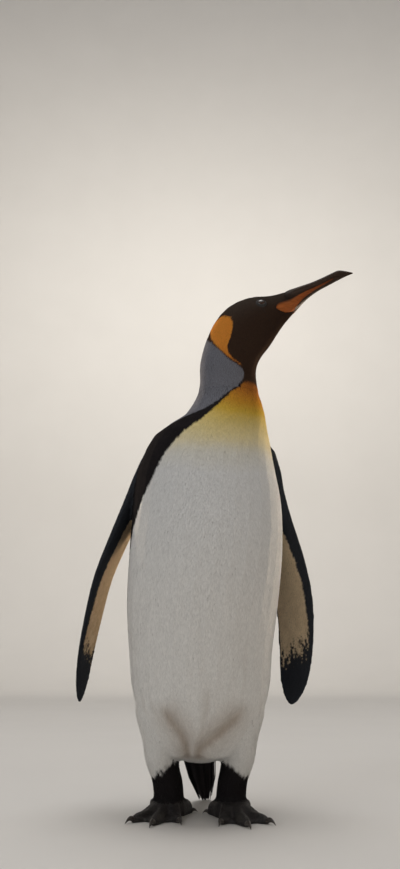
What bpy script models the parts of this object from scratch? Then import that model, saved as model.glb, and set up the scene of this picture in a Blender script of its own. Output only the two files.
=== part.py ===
"""King penguin, life size, standing upright with its head turned to its left and the bill raised.

Units are metres. +Z is up, the bird's breast faces -Y and its own left side is +X.
The origin is on the floor, under the centre of the whole model's box.

Every fleshy piece is a loft: rings of points, each ring a rounded section about its centre. The
tables below are stations, which are the few places where a piece's section is stated. All rings
in between are interpolated. Where two pieces meet, one is cut by a slightly enlarged other, or
both end on one flat section, so a thin gap parts them.
"""
import math

import bmesh
import bpy
import numpy as np
from mathutils import Matrix, Vector

BIRD, CUTTERS, ROOT = "king_penguin", "cutters", "king_penguin_root"
SIDES = {"left": 1, "right": -1}

# ---------------------------------------------------------------- driving sizes
GAP = 0.0004                    # clear space between two pieces that meet
SHARP_EDGE = 50                 # degrees between faces from which an edge is drawn sharp
CORE_SIDES = 32                 # points in a ring of the trunk, neck and head
CORE_STEP = 0.0205              # distance between rings of the trunk
HEAD_STEP = 0.0105              # distance between rings of the neck and head

# Trunk, neck and head, from the vent to the feather edge at the bill.
# name, centre x y z, half width, depth to the belly side, depth to the back side,
# turn of the breast to the bird's left and forward lean of the ring, both in degrees
CORE_STATIONS = [
    ("vent", 0.000, 0.022, 0.068, 0.020, 0.030, 0.036, 0, 0),
    ("crotch", 0.000, 0.010, 0.078, 0.050, 0.070, 0.064, 0, 0),
    ("hip", 0.000, -0.002, 0.108, 0.076, 0.095, 0.085, 0, 0),
    ("thigh", 0.001, -0.010, 0.160, 0.0985, 0.110, 0.098, 0, 0),
    ("low_belly", 0.001, -0.015, 0.225, 0.106, 0.122, 0.107, 1, 0),
    ("belly", 0.004, -0.018, 0.300, 0.1135, 0.127, 0.111, 4, 0),
    ("waist", 0.009, -0.019, 0.370, 0.1160, 0.121, 0.111, 7, 0),
    ("breast", 0.0115, -0.017, 0.440, 0.1140, 0.109, 0.107, 10, 0),
    ("shoulder", 0.0115, -0.012, 0.507, 0.1040, 0.097, 0.096, 14, 0),
    ("collar", 0.0180, -0.010, 0.548, 0.0915, 0.086, 0.084, 20, 0),
    ("neck_base", 0.0400, -0.013, 0.587, 0.0610, 0.066, 0.064, 34, 0),
    ("low_neck", 0.0450, -0.017, 0.622, 0.0480, 0.048, 0.048, 54, 2),
    ("mid_neck", 0.0455, -0.021, 0.663, 0.0445, 0.0450, 0.0465, 71, 6),
    ("nape", 0.0610, -0.025, 0.701, 0.0415, 0.0460, 0.0495, 80, 20),
    ("occiput", 0.0810, -0.028, 0.728, 0.0370, 0.0440, 0.0475, 84, 43),
    ("eyes", 0.0995, -0.030, 0.7405, 0.0315, 0.0385, 0.0400, 84, 59),
    ("lores", 0.1235, -0.0325, 0.7535, 0.0190, 0.0258, 0.0265, 84, 64),
    ("bill_root", 0.1512, -0.0355, 0.7715, 0.0108, 0.0152, 0.0152, 84, 63),
]
NECK_STARTS, HEAD_STARTS = "low_neck", "nape"

EYE_RADIUS = 0.0100
EYE_AHEAD = 0.005               # distance of an eye ahead of station "eyes"
EYE_ANGLE = 113                 # degrees round the head from the chin
EYE_SUNK = 0.0078               # depth of the eyeball's centre under the head's side

# Bill, in the head's own plane, measured from a straight line that rises ahead of the head.
# name, distance along that line, heights over it of the closed mouth, of the top of the upper
# mandible and of the underside of the lower one, half the width, and the roundness of the
# lower one's section: 1 is an ellipse and less is boxier
BILL_STATIONS = [
    ("plate_end", -0.0345, -0.0064, -0.0034, -0.0098, 0.0196, 0.50),
    ("plate_back", -0.0320, -0.0054, -0.0010, -0.0146, 0.0196, 0.50),
    ("plate", -0.0275, -0.0049, 0.0022, -0.0176, 0.0192, 0.50),
    ("cheek", -0.0200, -0.0047, 0.0060, -0.0194, 0.0182, 0.50),
    ("gape", -0.0100, -0.0044, 0.0140, -0.0194, 0.0158, 0.50),
    ("root", 0.0000, -0.0034, 0.0150, -0.0172, 0.0126, 0.60),
    ("nostril", 0.0130, -0.0024, 0.0129, -0.0142, 0.0101, 0.70),
    ("mid", 0.0404, -0.0038, 0.0080, -0.0092, 0.0074, 0.80),
    ("far", 0.0602, -0.0042, 0.0062, -0.0094, 0.0060, 0.85),
    ("bend", 0.0745, -0.0044, 0.0054, -0.0098, 0.0050, 0.85),
    ("hook", 0.0870, -0.0064, 0.0036, -0.0102, 0.0040, 0.85),
    ("hook_end", 0.0945, -0.0088, -0.0022, -0.0108, 0.0028, 0.85),
    ("tip", 0.1030, -0.0112, -0.0102, -0.0122, 0.0010, 0.85),
]
UPPER_STARTS, LOWER_STARTS, UPPER_ROUNDNESS = -0.0040, -0.0345, 0.85
BILL_LINE = (0.1490, -0.0360, 0.7725)       # where the line has distance 0
BILL_RISE = 28.5                            # degrees above level
BILL_SIDES, BILL_RINGS = 14, 14

# Flippers: shared outline, by share of the way from shoulder to tip.
# share, width from leading to trailing edge, thickness
FLIPPER_OUTLINE = [
    (0.00, 0.054, 0.040), (0.14, 0.062, 0.026), (0.35, 0.067, 0.0165), (0.60, 0.066, 0.0125),
    (0.75, 0.061, 0.0100), (0.87, 0.053, 0.0080), (0.945, 0.039, 0.0062), (0.985, 0.021, 0.0048),
    (1.00, 0.008, 0.0036),
]
FLIPPER_FRONT_BULK = 0.35       # how much thicker the blade is towards its leading edge
FLIPPER_SIDES, FLIPPER_RINGS = 18, 20
# centre line from shoulder to tip, and the way the leading edge faces at its start, middle and
# end: 0 is forward and 90 is straight out from the body
LEFT_FLIPPER = (
    [(0.080, 0.034, 0.548), (0.1005, 0.038, 0.518), (0.105, 0.041, 0.480), (0.1155, 0.043, 0.428),
     (0.1330, 0.043, 0.365), (0.1460, 0.045, 0.302), (0.1480, 0.049, 0.245), (0.1450, 0.053, 0.195),
     (0.1385, 0.058, 0.146)],
    (50, 60, 62))
RIGHT_FLIPPER = (
    [(-0.061, 0.004, 0.525), (-0.081, 0.006, 0.490), (-0.103, 0.008, 0.440), (-0.1255, 0.010, 0.388),
     (-0.1465, 0.013, 0.335), (-0.1610, 0.018, 0.275), (-0.1710, 0.025, 0.225), (-0.1805, 0.036, 0.151)],
    (25, 17, 17))
FLIPPER_POSES = {"left": LEFT_FLIPPER, "right": RIGHT_FLIPPER}

# Legs, the same on both sides: height, distance from the middle, y, half width, half depth
LEG_STATIONS = [
    ("hidden_top", 0.185, 0.0500, -0.012, 0.0440, 0.050),
    ("thigh", 0.140, 0.0535, -0.016, 0.0410, 0.060),
    ("knee", 0.100, 0.0545, -0.012, 0.0290, 0.050),
    ("hem", 0.068, 0.0535, -0.006, 0.0242, 0.038),
    ("shank", 0.045, 0.0465, -0.003, 0.0230, 0.028),
    ("ankle", 0.0215, 0.0440, -0.002, 0.0232, 0.025),
]
LEG_SIDES, LEG_RINGS = 20, 14

# Feet, the same on both sides but for where they stand, as heights over the floor
FOOT_CENTRES = {"left": (0.0450, -0.008), "right": (-0.0450, 0.003)}
ANKLE_TOP = 0.0210
ANKLE_RADIUS = 0.0225
HEEL_RADIUS = 0.0270
WEB_HEIGHT, WEB_SHARE = 0.0055, 0.80        # web thickness, and how far out it reaches
# name, degrees outward from straight ahead, length, half width, height at the toe's end
TOES = [
    ("inner", -14, 0.068, 0.0072, 0.0105),
    ("middle", 12, 0.084, 0.0080, 0.0115),
    ("outer", 37, 0.077, 0.0076, 0.0110),
    ("hind", -112, 0.037, 0.0050, 0.0080),
]
TOE_END_ROUNDING = 0.10         # share of a toe's length lost at its end's corners
TOE_FOOTPRINT = 1.15            # a toe's ridge against its end's half width
TOE_ROOT_RISE = 0.45            # how much higher a toe is at its root
WEB_SCALLOP = 0.10              # how much further the web reaches beside a toe
ANKLE_SLOPE = 0.024             # distance over which the ankle falls away to the toes
EDGE_FROM, EDGE_DROP = 0.81, 0.42           # outer share of the foot that rounds off, and how far
FOOT_SHARES = (0.0, 0.205, 0.41, 0.615, 0.795, 0.923, 1.0)      # rings from ankle to rim
HEEL_ANGLES = (58, 82, 108, 134, 160, 186, 212, -36, -58, -82)
CLAW_LENGTH = {"inner": 0.0155, "middle": 0.0175, "outer": 0.0150, "hind": 0.008}
CLAW_THICKNESS = 0.32           # a claw's radius against its toe's height
CLAW_SIDES, CLAW_RINGS = 8, 6

# Tail: distance along it, half width, half thickness
TAIL_START, TAIL_END = (-0.009, 0.052, 0.125), (0.0080, 0.127, 0.0012)
TAIL_STATIONS = [(0.0, 0.024, 0.022), (0.35, 0.027, 0.014), (0.7, 0.0205, 0.0085), (1.0, 0.0085, 0.0050)]
TAIL_SIDES, TAIL_RINGS = 18, 10

COLOURS = {
    "plumage": (0.80, 0.79, 0.76), "dark_plumage": (0.030, 0.028, 0.032), "slate": (0.20, 0.22, 0.26),
    "horn": (0.035, 0.025, 0.022), "skin": (0.045, 0.042, 0.045), "eye": (0.10, 0.045, 0.02),
    "claw": (0.03, 0.026, 0.024),
}
GLOSSY = ("horn", "eye", "claw")


# ---------------------------------------------------------------- shared shapes
def smooth_table(keys, rows, at):
    """Rows of numbers given at rising keys, read at other places along a smooth curve."""
    keys, rows, at = np.asarray(keys, float), np.asarray(rows, float), np.asarray(at, float)
    steps = np.diff(keys)[:, None]
    slopes = np.diff(rows, axis=0) / steps
    tangents = np.empty_like(rows)
    tangents[0], tangents[-1] = slopes[0], slopes[-1]
    before, after = steps[:-1], steps[1:]
    tangents[1:-1] = (slopes[:-1] * after + slopes[1:] * before) / (before + after)
    i = np.clip(np.searchsorted(keys, at, side="right") - 1, 0, len(keys) - 2)
    width = steps[i, 0]
    t = ((at - keys[i]) / width)[:, None]
    h = width[:, None]
    return ((2 * t**3 - 3 * t**2 + 1) * rows[i] + (t**3 - 2 * t**2 + t) * h * tangents[i]
            + (3 * t**2 - 2 * t**3) * rows[i + 1] + (t**3 - t**2) * h * tangents[i + 1])


def path_lengths(points):
    """Distance along a line of points, from its first."""
    points = np.asarray(points, float)
    return np.concatenate([[0], np.cumsum(np.linalg.norm(np.diff(points, axis=0), axis=1))])


def loft(name, rings, colour):
    """A closed solid through rings that hold the same number of points, with flat ends."""
    mesh = bpy.data.meshes.new(name)
    bm = bmesh.new()
    rows = [[bm.verts.new(p) for p in ring] for ring in rings]
    sides = len(rows[0])
    for low, high in zip(rows, rows[1:]):
        for i in range(sides):
            j = (i + 1) % sides
            bm.faces.new((low[i], low[j], high[j], high[i]))
    bm.faces.new(rows[0])
    bm.faces.new(rows[-1])
    bmesh.ops.recalc_face_normals(bm, faces=bm.faces)
    bm.to_mesh(mesh)
    bm.free()
    return finished(name, mesh, colour)


def finished(name, mesh, colour):
    """The object of a mesh, with its origin in its middle, its colour, and the bird as its parent."""
    corners = np.array([v.co for v in mesh.vertices])
    middle = Vector((corners.min(axis=0) + corners.max(axis=0)) / 2)
    mesh.transform(Matrix.Translation(-middle))
    mesh.shade_smooth()
    mesh.set_sharp_from_angle(angle=math.radians(SHARP_EDGE))
    mesh.materials.append(material(colour))
    obj = bpy.data.objects.new(name, mesh)
    obj.location = middle
    obj.parent = bpy.data.objects[ROOT]
    bpy.data.collections[BIRD].objects.link(obj)
    return obj


def material(name):
    """The colour's material, made on its first use."""
    found = bpy.data.materials.get(name)
    if found:
        return found
    made = bpy.data.materials.new(name)
    made.use_nodes = True
    shader = made.node_tree.nodes["Principled BSDF"]
    shader.inputs["Base Color"].default_value = (*COLOURS[name], 1)
    shader.inputs["Roughness"].default_value = 0.25 if name in GLOSSY else 0.7
    return made


def cut(obj, cutter):
    """Takes the cutter's shape out of obj for good, and hides the cutter."""
    hide_helper(cutter)
    step = obj.modifiers.new("cut", "BOOLEAN")
    step.operation, step.object, step.solver = "DIFFERENCE", cutter, "EXACT"
    bpy.context.view_layer.update()
    graph = bpy.context.evaluated_depsgraph_get()
    mesh = bpy.data.meshes.new_from_object(obj.evaluated_get(graph))
    obj.modifiers.clear()
    obj.data = mesh


def hide_helper(obj):
    obj.hide_render = True
    obj.display_type = "WIRE"
    if obj.name in bpy.data.collections[BIRD].objects:
        bpy.data.collections[BIRD].objects.unlink(obj)
        bpy.data.collections[CUTTERS].objects.link(obj)


# ---------------------------------------------------------------- trunk, neck and head
CORE_NAMES = [row[0] for row in CORE_STATIONS]
CORE_ROWS = np.array([row[1:] for row in CORE_STATIONS], float)
CORE_KEYS = path_lengths(CORE_ROWS[:, :3])


def core_key(name):
    return CORE_KEYS[CORE_NAMES.index(name)]


def core_frame(turn, lean):
    """Unit vectors to the bird's left, to its belly side and along the body, at a ring."""
    turn, lean = math.radians(turn), math.radians(lean)
    ahead = Vector((math.sin(turn), -math.cos(turn), 0))
    left = Vector((math.cos(turn), math.sin(turn), 0))
    ventral = ahead * math.cos(lean) - Vector((0, 0, 1)) * math.sin(lean)
    return left, ventral, ventral.cross(left)


def core_ring(key, grown=0.0):
    """The ring of points at a distance along the body, enlarged by grown."""
    x, y, z, side, belly, back, turn, lean = smooth_table(CORE_KEYS, CORE_ROWS, [key])[0]
    left, ventral, _ = core_frame(turn, lean)
    ring = []
    for i in range(CORE_SIDES):
        angle = 2 * math.pi * i / CORE_SIDES
        depth = belly if math.cos(angle) > 0 else back
        ring.append(Vector((x, y, z)) + left * (side + grown) * math.sin(angle)
                    + ventral * (depth + grown) * math.cos(angle))
    return ring


def core_piece(name, start, end, step, colour, grown=0.0):
    count = max(2, round((end - start) / step) + 1)
    return loft(name, [core_ring(k, grown) for k in np.linspace(start, end, count)], colour)


def make_core():
    """Trunk, neck and head, which meet at flat faces a gap apart. Gives the head and a trunk cutter."""
    neck, head = core_key(NECK_STARTS), core_key(HEAD_STARTS)
    core_piece("trunk", CORE_KEYS[0], neck - GAP / 2, CORE_STEP, "plumage")
    core_piece("neck", neck + GAP / 2, head - GAP / 2, HEAD_STEP, "slate")
    skull = core_piece("head", head + GAP / 2, CORE_KEYS[-1], HEAD_STEP, "dark_plumage")
    grown = core_piece("trunk_cutter", CORE_KEYS[0], neck - GAP / 2, CORE_STEP, "plumage", GAP)
    hide_helper(grown)
    return skull, grown


def eye_centre(side):
    """Centre of an eyeball, sunk under the head's surface. side is 1 on the left, -1 on the right."""
    key = core_key("eyes") + EYE_AHEAD
    x, y, z, half, belly, back, turn, lean = smooth_table(CORE_KEYS, CORE_ROWS, [key])[0]
    left, ventral, _ = core_frame(turn, lean)
    angle = math.radians(EYE_ANGLE)
    depth = belly if math.cos(angle) > 0 else back
    across = side * left * (half - EYE_SUNK) * math.sin(angle)
    return Vector((x, y, z)) + across + ventral * (depth - EYE_SUNK) * math.cos(angle)


def ball(name, centre, radius, colour):
    bm = bmesh.new()
    bmesh.ops.create_uvsphere(bm, u_segments=12, v_segments=8, radius=radius)
    bm.transform(Matrix.Translation(centre))
    mesh = bpy.data.meshes.new(name)
    bm.to_mesh(mesh)
    bm.free()
    return finished(name, mesh, colour)


def make_eyes(skull):
    for name, side in SIDES.items():
        cut(skull, ball("socket_" + name, eye_centre(side), EYE_RADIUS + GAP, "skin"))
        ball("eye_" + name, eye_centre(side), EYE_RADIUS, "eye")


# ---------------------------------------------------------------- bill
def bill_frame():
    """The head's left, the level way ahead, and up."""
    turn = math.radians(CORE_ROWS[-1][6])
    return (Vector((math.cos(turn), math.sin(turn), 0)), Vector((math.sin(turn), -math.cos(turn), 0)),
            Vector((0, 0, 1)))


def mandible_ring(row, upper, grown=0.0):
    """Half an egg over or under the mouth's line, from which each mandible stays half a gap."""
    along, gape, top, bottom, half, roundness = row
    left, ahead, up = bill_frame()
    tilt = math.radians(BILL_RISE)
    out = ahead * math.cos(tilt) + up * math.sin(tilt)
    above = up * math.cos(tilt) - ahead * math.sin(tilt)
    start = gape + (GAP / 2 - grown) * (1 if upper else -1)
    reach = (top + grown if upper else bottom - grown) - start
    ring = []
    for i in range(BILL_SIDES):
        angle = math.pi * i / (BILL_SIDES - 1)
        across, down = math.cos(angle), abs(math.sin(angle)) ** (UPPER_ROUNDNESS if upper else roundness)
        if not upper:
            across = math.copysign(abs(across) ** roundness, across)
        ring.append(Vector(BILL_LINE) + out * along + left * (half + grown) * across
                    + above * (start + reach * down))
    return ring


def mandible(name, upper, grown=0.0):
    rows = np.array([row[1:] for row in BILL_STATIONS], float)
    first = UPPER_STARTS if upper else LOWER_STARTS
    at = np.linspace(first - grown, rows[-1, 0], BILL_RINGS)
    read = smooth_table(rows[:, 0], rows, at)
    read[:, 0] = at
    return loft(name, [mandible_ring(row, upper, grown) for row in read], "horn")


def make_bill(skull):
    """The lower mandible's plates reach back into the head's sides. The upper stops at the feathers."""
    cut(skull, mandible("bill_cutter", False, GAP))
    mandible("bill_lower", False)
    cut(mandible("bill_upper", True), grown_head())


def grown_head():
    found = bpy.data.objects.get("head_cutter")
    if found:
        return found
    made = core_piece("head_cutter", core_key(HEAD_STARTS), CORE_KEYS[-1] + GAP, HEAD_STEP, "skin", GAP)
    hide_helper(made)
    return made


# ---------------------------------------------------------------- flippers
def make_flipper(name, line, facing, side, trunk):
    """A thin blade round a bent centre line. side is 1 on the left and -1 on the right."""
    shares = path_lengths(line) / path_lengths(line)[-1]
    outline = np.array(FLIPPER_OUTLINE)
    at = 1 - (1 - np.linspace(0, 1, FLIPPER_RINGS)) ** 1.35     # rings crowd towards the tip
    centres = smooth_table(shares, line, at)
    sizes = smooth_table(outline[:, 0], outline[:, 1:], at)
    turns = np.interp(at, (0, 0.5, 1), facing)
    ways = np.gradient(centres, axis=0)
    rings = [flipper_ring(Vector(centre), Vector(way).normalized(), width, thick, turn, side)
             for centre, way, (width, thick), turn in zip(centres, ways, sizes, turns)]
    cut(loft(name, rings, "slate"), trunk)


def flipper_ring(centre, way, width, thick, turn, side):
    """A flat section across the blade, thickest ahead of its middle."""
    angle = math.radians(turn)
    lead = Vector((side * math.sin(angle), -math.cos(angle), 0))
    lead = (lead - way * lead.dot(way)).normalized()
    flat = way.cross(lead)
    ring = []
    for i in range(FLIPPER_SIDES):
        angle = 2 * math.pi * i / FLIPPER_SIDES
        chord = math.cos(angle)
        body = math.sin(angle) * (1 + FLIPPER_FRONT_BULK * chord)
        ring.append(centre + lead * width / 2 * chord + flat * thick / 2 * body)
    return ring


# ---------------------------------------------------------------- legs, feet and claws
def make_leg(name, side, trunk):
    """Thigh and shank down to the foot, less what lies inside the trunk."""
    rows = np.array([row[1:] for row in LEG_STATIONS], float)
    drops = rows[0, 0] - rows[:, 0]
    rings = []
    for height, x, y, half, depth in smooth_table(drops, rows, np.linspace(0, drops[-1], LEG_RINGS)):
        arc = [2 * math.pi * i / LEG_SIDES for i in range(LEG_SIDES)]
        rings.append([(side * x + half * math.cos(a), y + depth * math.sin(a), height) for a in arc])
    cut(loft(name, rings, "plumage"), trunk)


def half_spread(toe):
    """Half the angle that a toe's end takes up, seen from the ankle."""
    _, _, length, half, _ = toe
    return math.degrees(math.atan2(half, length))


def foot_reach(angle):
    """How far out the foot reaches at an angle from straight ahead: a toe, a web or the heel."""
    for toe in TOES:
        off = abs(angle - toe[1]) / half_spread(toe)
        if off < 1.001:
            return toe[2] * (1 - TOE_END_ROUNDING * off**2)
    for before, after in zip(TOES[:2], TOES[1:3]):
        if before[1] < angle < after[1]:
            share = (angle - before[1]) / (after[1] - before[1])
            straight = before[2] * (1 - share) + after[2] * share
            return straight * (WEB_SHARE + WEB_SCALLOP * (2 * share - 1) ** 2)
    return HEEL_RADIUS


def foot_angles():
    """Angles round the foot: close together over the toes, wider over webs and heel."""
    angles = list(HEEL_ANGLES)
    for toe in TOES:
        angles += [toe[1] + half_spread(toe) * share for share in (-1, -0.7, -0.35, 0, 0.35, 0.7, 1)]
    for before, after in zip(TOES[:2], TOES[1:3]):
        angles += [before[1] + (after[1] - before[1]) * share for share in (0.36, 0.5, 0.64)]
    return sorted((angle + 360) % 360 for angle in angles)


def toe_height(toe, angle, distance):
    """Height of one toe's ridge over a place on the foot, or 0 beside it."""
    _, middle, length, half, height = toe
    off = math.radians((angle - middle + 180) % 360 - 180)
    aside = abs(math.sin(off)) * distance / (half * TOE_FOOTPRINT)
    if abs(off) > math.pi / 2 or distance > length or aside > 1:
        return 0.0
    ridge = height * (1 + TOE_ROOT_RISE * (1 - distance / length))
    return WEB_HEIGHT + (ridge - WEB_HEIGHT) * math.cos(aside * math.pi / 2) ** 0.8


def foot_height(angle, distance, share):
    """Height of the foot's upper side, from the ankle's flat top out to webs and toes."""
    far = max([WEB_HEIGHT] + [toe_height(toe, angle, distance) for toe in TOES])
    blend = min(1.0, max(0.0, (distance - ANKLE_RADIUS) / ANKLE_SLOPE))
    blend = blend * blend * (3 - 2 * blend)
    edge = max(0.0, (share - EDGE_FROM) / (1 - EDGE_FROM))
    return (ANKLE_TOP * (1 - blend) + far * blend) * (1 - EDGE_DROP * edge**2)


def make_foot(name, word):
    """A closed foot: heights on rings round the ankle, over one flat sole."""
    bm = bmesh.new()
    rings = [[] for _ in FOOT_SHARES]
    for angle in foot_angles():
        signed = (angle + 180) % 360 - 180
        reach = foot_reach(signed)
        for ring, share in zip(rings, FOOT_SHARES):
            distance = ANKLE_RADIUS + (reach - ANKLE_RADIUS) * share
            height = foot_height(signed, distance, share)
            ring.append(bm.verts.new(foot_point(word, signed, distance, height)))
    top = bm.verts.new(foot_point(word, 0, 0, ANKLE_TOP))
    under = bm.verts.new(foot_point(word, 0, 0, 0))
    rings.append([bm.verts.new((v.co.x, v.co.y, 0)) for v in rings[-1]])
    count = len(rings[0])
    for i in range(count):
        j = (i + 1) % count
        bm.faces.new((top, rings[0][i], rings[0][j]))
        for inner, outer in zip(rings, rings[1:]):
            bm.faces.new((inner[i], outer[i], outer[j], inner[j]))
        bm.faces.new((rings[-1][i], under, rings[-1][j]))
    bmesh.ops.recalc_face_normals(bm, faces=bm.faces)
    mesh = bpy.data.meshes.new(name)
    bm.to_mesh(mesh)
    bm.free()
    finished(name, mesh, "skin")


def foot_point(word, angle, distance, height):
    """A place at an angle and a distance from the ankle. Positive angles are outward."""
    angle = math.radians(angle)
    x, y = FOOT_CENTRES[word]
    return Vector((x + SIDES[word] * math.sin(angle) * distance, y - math.cos(angle) * distance, height))


def make_claw(name, word, toe):
    """An arched cone from a toe's end down to the floor."""
    label, angle, length, _, height = toe
    start = foot_point(word, angle, length + GAP, 0)
    out = (foot_point(word, angle, length + 1, 0) - start).normalized()
    across = out.cross(Vector((0, 0, 1)))
    radius = height * CLAW_THICKNESS
    rings = []
    for share in np.linspace(0, 1, CLAW_RINGS):
        size = radius * (1 - 0.88 * share**1.3)
        centre = start + out * CLAW_LENGTH[label] * share
        centre.z = radius * (1.06 + 0.75 * math.sin(math.pi * share)) - (radius - size) * 0.9 * share
        arc = [2 * math.pi * k / CLAW_SIDES for k in range(CLAW_SIDES)]
        rings.append([centre + across * size * math.cos(a) + Vector((0, 0, size * math.sin(a))) for a in arc])
    loft(name, rings, "claw")


# ---------------------------------------------------------------- tail
def make_tail(trunk):
    """A flat tapered brush of stiff feathers. What would lie below the floor is flattened onto it."""
    start, end = Vector(TAIL_START), Vector(TAIL_END)
    across = Vector((1, 0, 0))
    flat = across.cross(end - start).normalized()
    rows = np.array(TAIL_STATIONS)
    rings = []
    for share, half, thick in smooth_table(rows[:, 0], rows, np.linspace(0, 1, TAIL_RINGS)):
        centre = start.lerp(end, share)
        arc = [2 * math.pi * i / TAIL_SIDES for i in range(TAIL_SIDES)]
        ring = [centre + across * half * math.cos(a) + flat * thick * math.sin(a) for a in arc]
        rings.append([Vector((p.x, p.y, max(p.z, 0.0))) for p in ring])
    cut(loft("tail", rings, "dark_plumage"), trunk)


# ---------------------------------------------------------------- the whole bird
def clear_scene():
    for obj in list(bpy.data.objects):
        bpy.data.objects.remove(obj, do_unlink=True)
    for name in (BIRD, CUTTERS):
        bpy.context.scene.collection.children.link(bpy.data.collections.new(name))
    bpy.data.collections[BIRD].objects.link(bpy.data.objects.new(ROOT, None))


def centre_over_origin():
    """Moves the bird so that the whole model's box is centred over the origin."""
    bpy.context.view_layer.update()
    pieces = bpy.data.objects[ROOT].children
    shown = [p for p in pieces if not p.hide_render]
    corners = np.array([p.matrix_world @ v.co for p in shown for v in p.data.vertices])
    middle = (corners.min(axis=0) + corners.max(axis=0)) / 2
    bpy.data.objects[ROOT].location = (-middle[0], -middle[1], 0)


def main():
    clear_scene()
    skull, grown_trunk = make_core()
    make_eyes(skull)
    make_bill(skull)
    for word, side in SIDES.items():
        make_flipper("flipper_" + word, *FLIPPER_POSES[word], side, grown_trunk)
        make_leg("leg_" + word, side, grown_trunk)
        make_foot("foot_" + word, word)
        for toe in TOES:
            make_claw("claw_" + toe[0] + "_" + word, word, toe)
    make_tail(grown_trunk)
    centre_over_origin()


main()
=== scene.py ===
"""Looks of the king penguin: one skin under a coat of solid feathers, with its bill, eyes and claws.

Units are metres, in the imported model's frame: +Z is up, the breast faces -Y and the bird's own left
is +X. The nodes of flesh are fused into one skin, which is drawn in by the depth of the coat. Every
feather is a thin closed vane that is rooted on that skin and follows it. One function of the place
on the body, coat_colours, gives the markings of skin and feathers alike.
"""
import math
from collections import namedtuple
from contextlib import contextmanager

import bmesh
import bpy
import numpy as np
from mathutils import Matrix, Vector
from mathutils.bvhtree import BVHTree


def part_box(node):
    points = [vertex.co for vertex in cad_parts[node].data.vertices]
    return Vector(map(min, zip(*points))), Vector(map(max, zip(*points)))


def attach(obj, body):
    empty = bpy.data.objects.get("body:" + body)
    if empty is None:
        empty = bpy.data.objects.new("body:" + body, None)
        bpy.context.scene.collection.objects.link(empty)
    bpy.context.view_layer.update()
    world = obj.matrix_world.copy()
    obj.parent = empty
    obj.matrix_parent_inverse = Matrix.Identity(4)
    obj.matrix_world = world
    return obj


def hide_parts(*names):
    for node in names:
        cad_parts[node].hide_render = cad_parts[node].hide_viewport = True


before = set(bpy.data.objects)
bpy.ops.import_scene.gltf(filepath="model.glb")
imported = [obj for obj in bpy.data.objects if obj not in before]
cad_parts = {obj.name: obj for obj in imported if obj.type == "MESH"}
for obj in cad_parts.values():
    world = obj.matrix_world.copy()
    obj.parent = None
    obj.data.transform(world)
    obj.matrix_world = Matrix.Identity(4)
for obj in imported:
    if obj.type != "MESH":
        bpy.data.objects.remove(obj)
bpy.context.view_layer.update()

MM = 0.001
TAU = 2 * math.pi
UP = np.array((0, 0, 1.0))
SIDES = {"left": 1, "right": -1}
# Tables below are in the builder's own frame, which part.py moved by this to centre the bird's box.
CENTRING = np.array((-0.029989, 0.006745, 0.0))

# ---------------------------------------------------------------- anatomy
# Body axis: name, x, y, z, turn of the breast to the bird's left, forward lean, in degrees.
AXIS = [
    ("vent", 0, 0.022, 0.068, 0, 0), ("crotch", 0, 0.01, 0.078, 0, 0), ("hip", 0, -0.002, 0.108, 0, 0),
    ("thigh", 0.001, -0.01, 0.16, 0, 0), ("low_belly", 0.001, -0.015, 0.225, 1, 0),
    ("belly", 0.004, -0.018, 0.3, 4, 0), ("waist", 0.009, -0.019, 0.37, 7, 0),
    ("breast", 0.0115, -0.017, 0.44, 10, 0), ("shoulder", 0.0115, -0.012, 0.507, 14, 0),
    ("collar", 0.018, -0.01, 0.548, 20, 0), ("neck_base", 0.04, -0.013, 0.587, 34, 0),
    ("low_neck", 0.045, -0.017, 0.622, 54, 2), ("mid_neck", 0.0455, -0.021, 0.663, 71, 6),
    ("nape", 0.061, -0.025, 0.701, 80, 20), ("occiput", 0.081, -0.028, 0.728, 84, 43),
    ("eyes", 0.0995, -0.03, 0.7405, 84, 59), ("lores", 0.1235, -0.0325, 0.7535, 84, 64),
    ("bill_root", 0.1512, -0.0355, 0.7715, 84, 63),
]
CORE_SPANS = {"trunk": ("vent", "low_neck"), "neck": ("low_neck", "nape"), "head": ("nape", "bill_root")}
AXIS_RINGS, FLIPPER_RINGS = 420, 160  # stations that the lines are read at

# Bill: distance along its line, heights over it of the mouth, the top and the underside, half the
# width, and the roundness of the lower mandible's section. The rear part differs a little from the CAD.
BILL_STATIONS = [
    (-0.0345, -0.0064, -0.0034, -0.0092, 0.0196, 0.5), (-0.032, -0.0034, -0.001, -0.0138, 0.0196, 0.5),
    (-0.0275, -0.0018, 0.0022, -0.0172, 0.0192, 0.5), (-0.02, -0.0024, 0.006, -0.0202, 0.0182, 0.5),
    (-0.01, -0.004, 0.014, -0.0205, 0.0158, 0.56), (0, -0.0034, 0.015, -0.0179, 0.0126, 0.72),
    (0.013, -0.0024, 0.0129, -0.0137, 0.0101, 0.84), (0.0404, -0.0038, 0.008, -0.0091, 0.0074, 0.88),
    (0.0602, -0.0042, 0.0062, -0.0094, 0.006, 0.85), (0.0745, -0.0044, 0.0054, -0.0098, 0.005, 0.85),
    (0.087, -0.0064, 0.0036, -0.0102, 0.004, 0.85), (0.0945, -0.0088, -0.0022, -0.0108, 0.0028, 0.85),
    (0.103, -0.0112, -0.0102, -0.0122, 0.001, 0.85),
]
BILL_LINE, BILL_RISE, BILL_TURN = (0.149, -0.036, 0.7725), 28.5, 84
BILL_SIDES, BILL_RINGS = 34, 110
UPPER_STARTS, LOWER_STARTS, UPPER_ROUNDNESS = -0.013, -0.0345, 0.85

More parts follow.
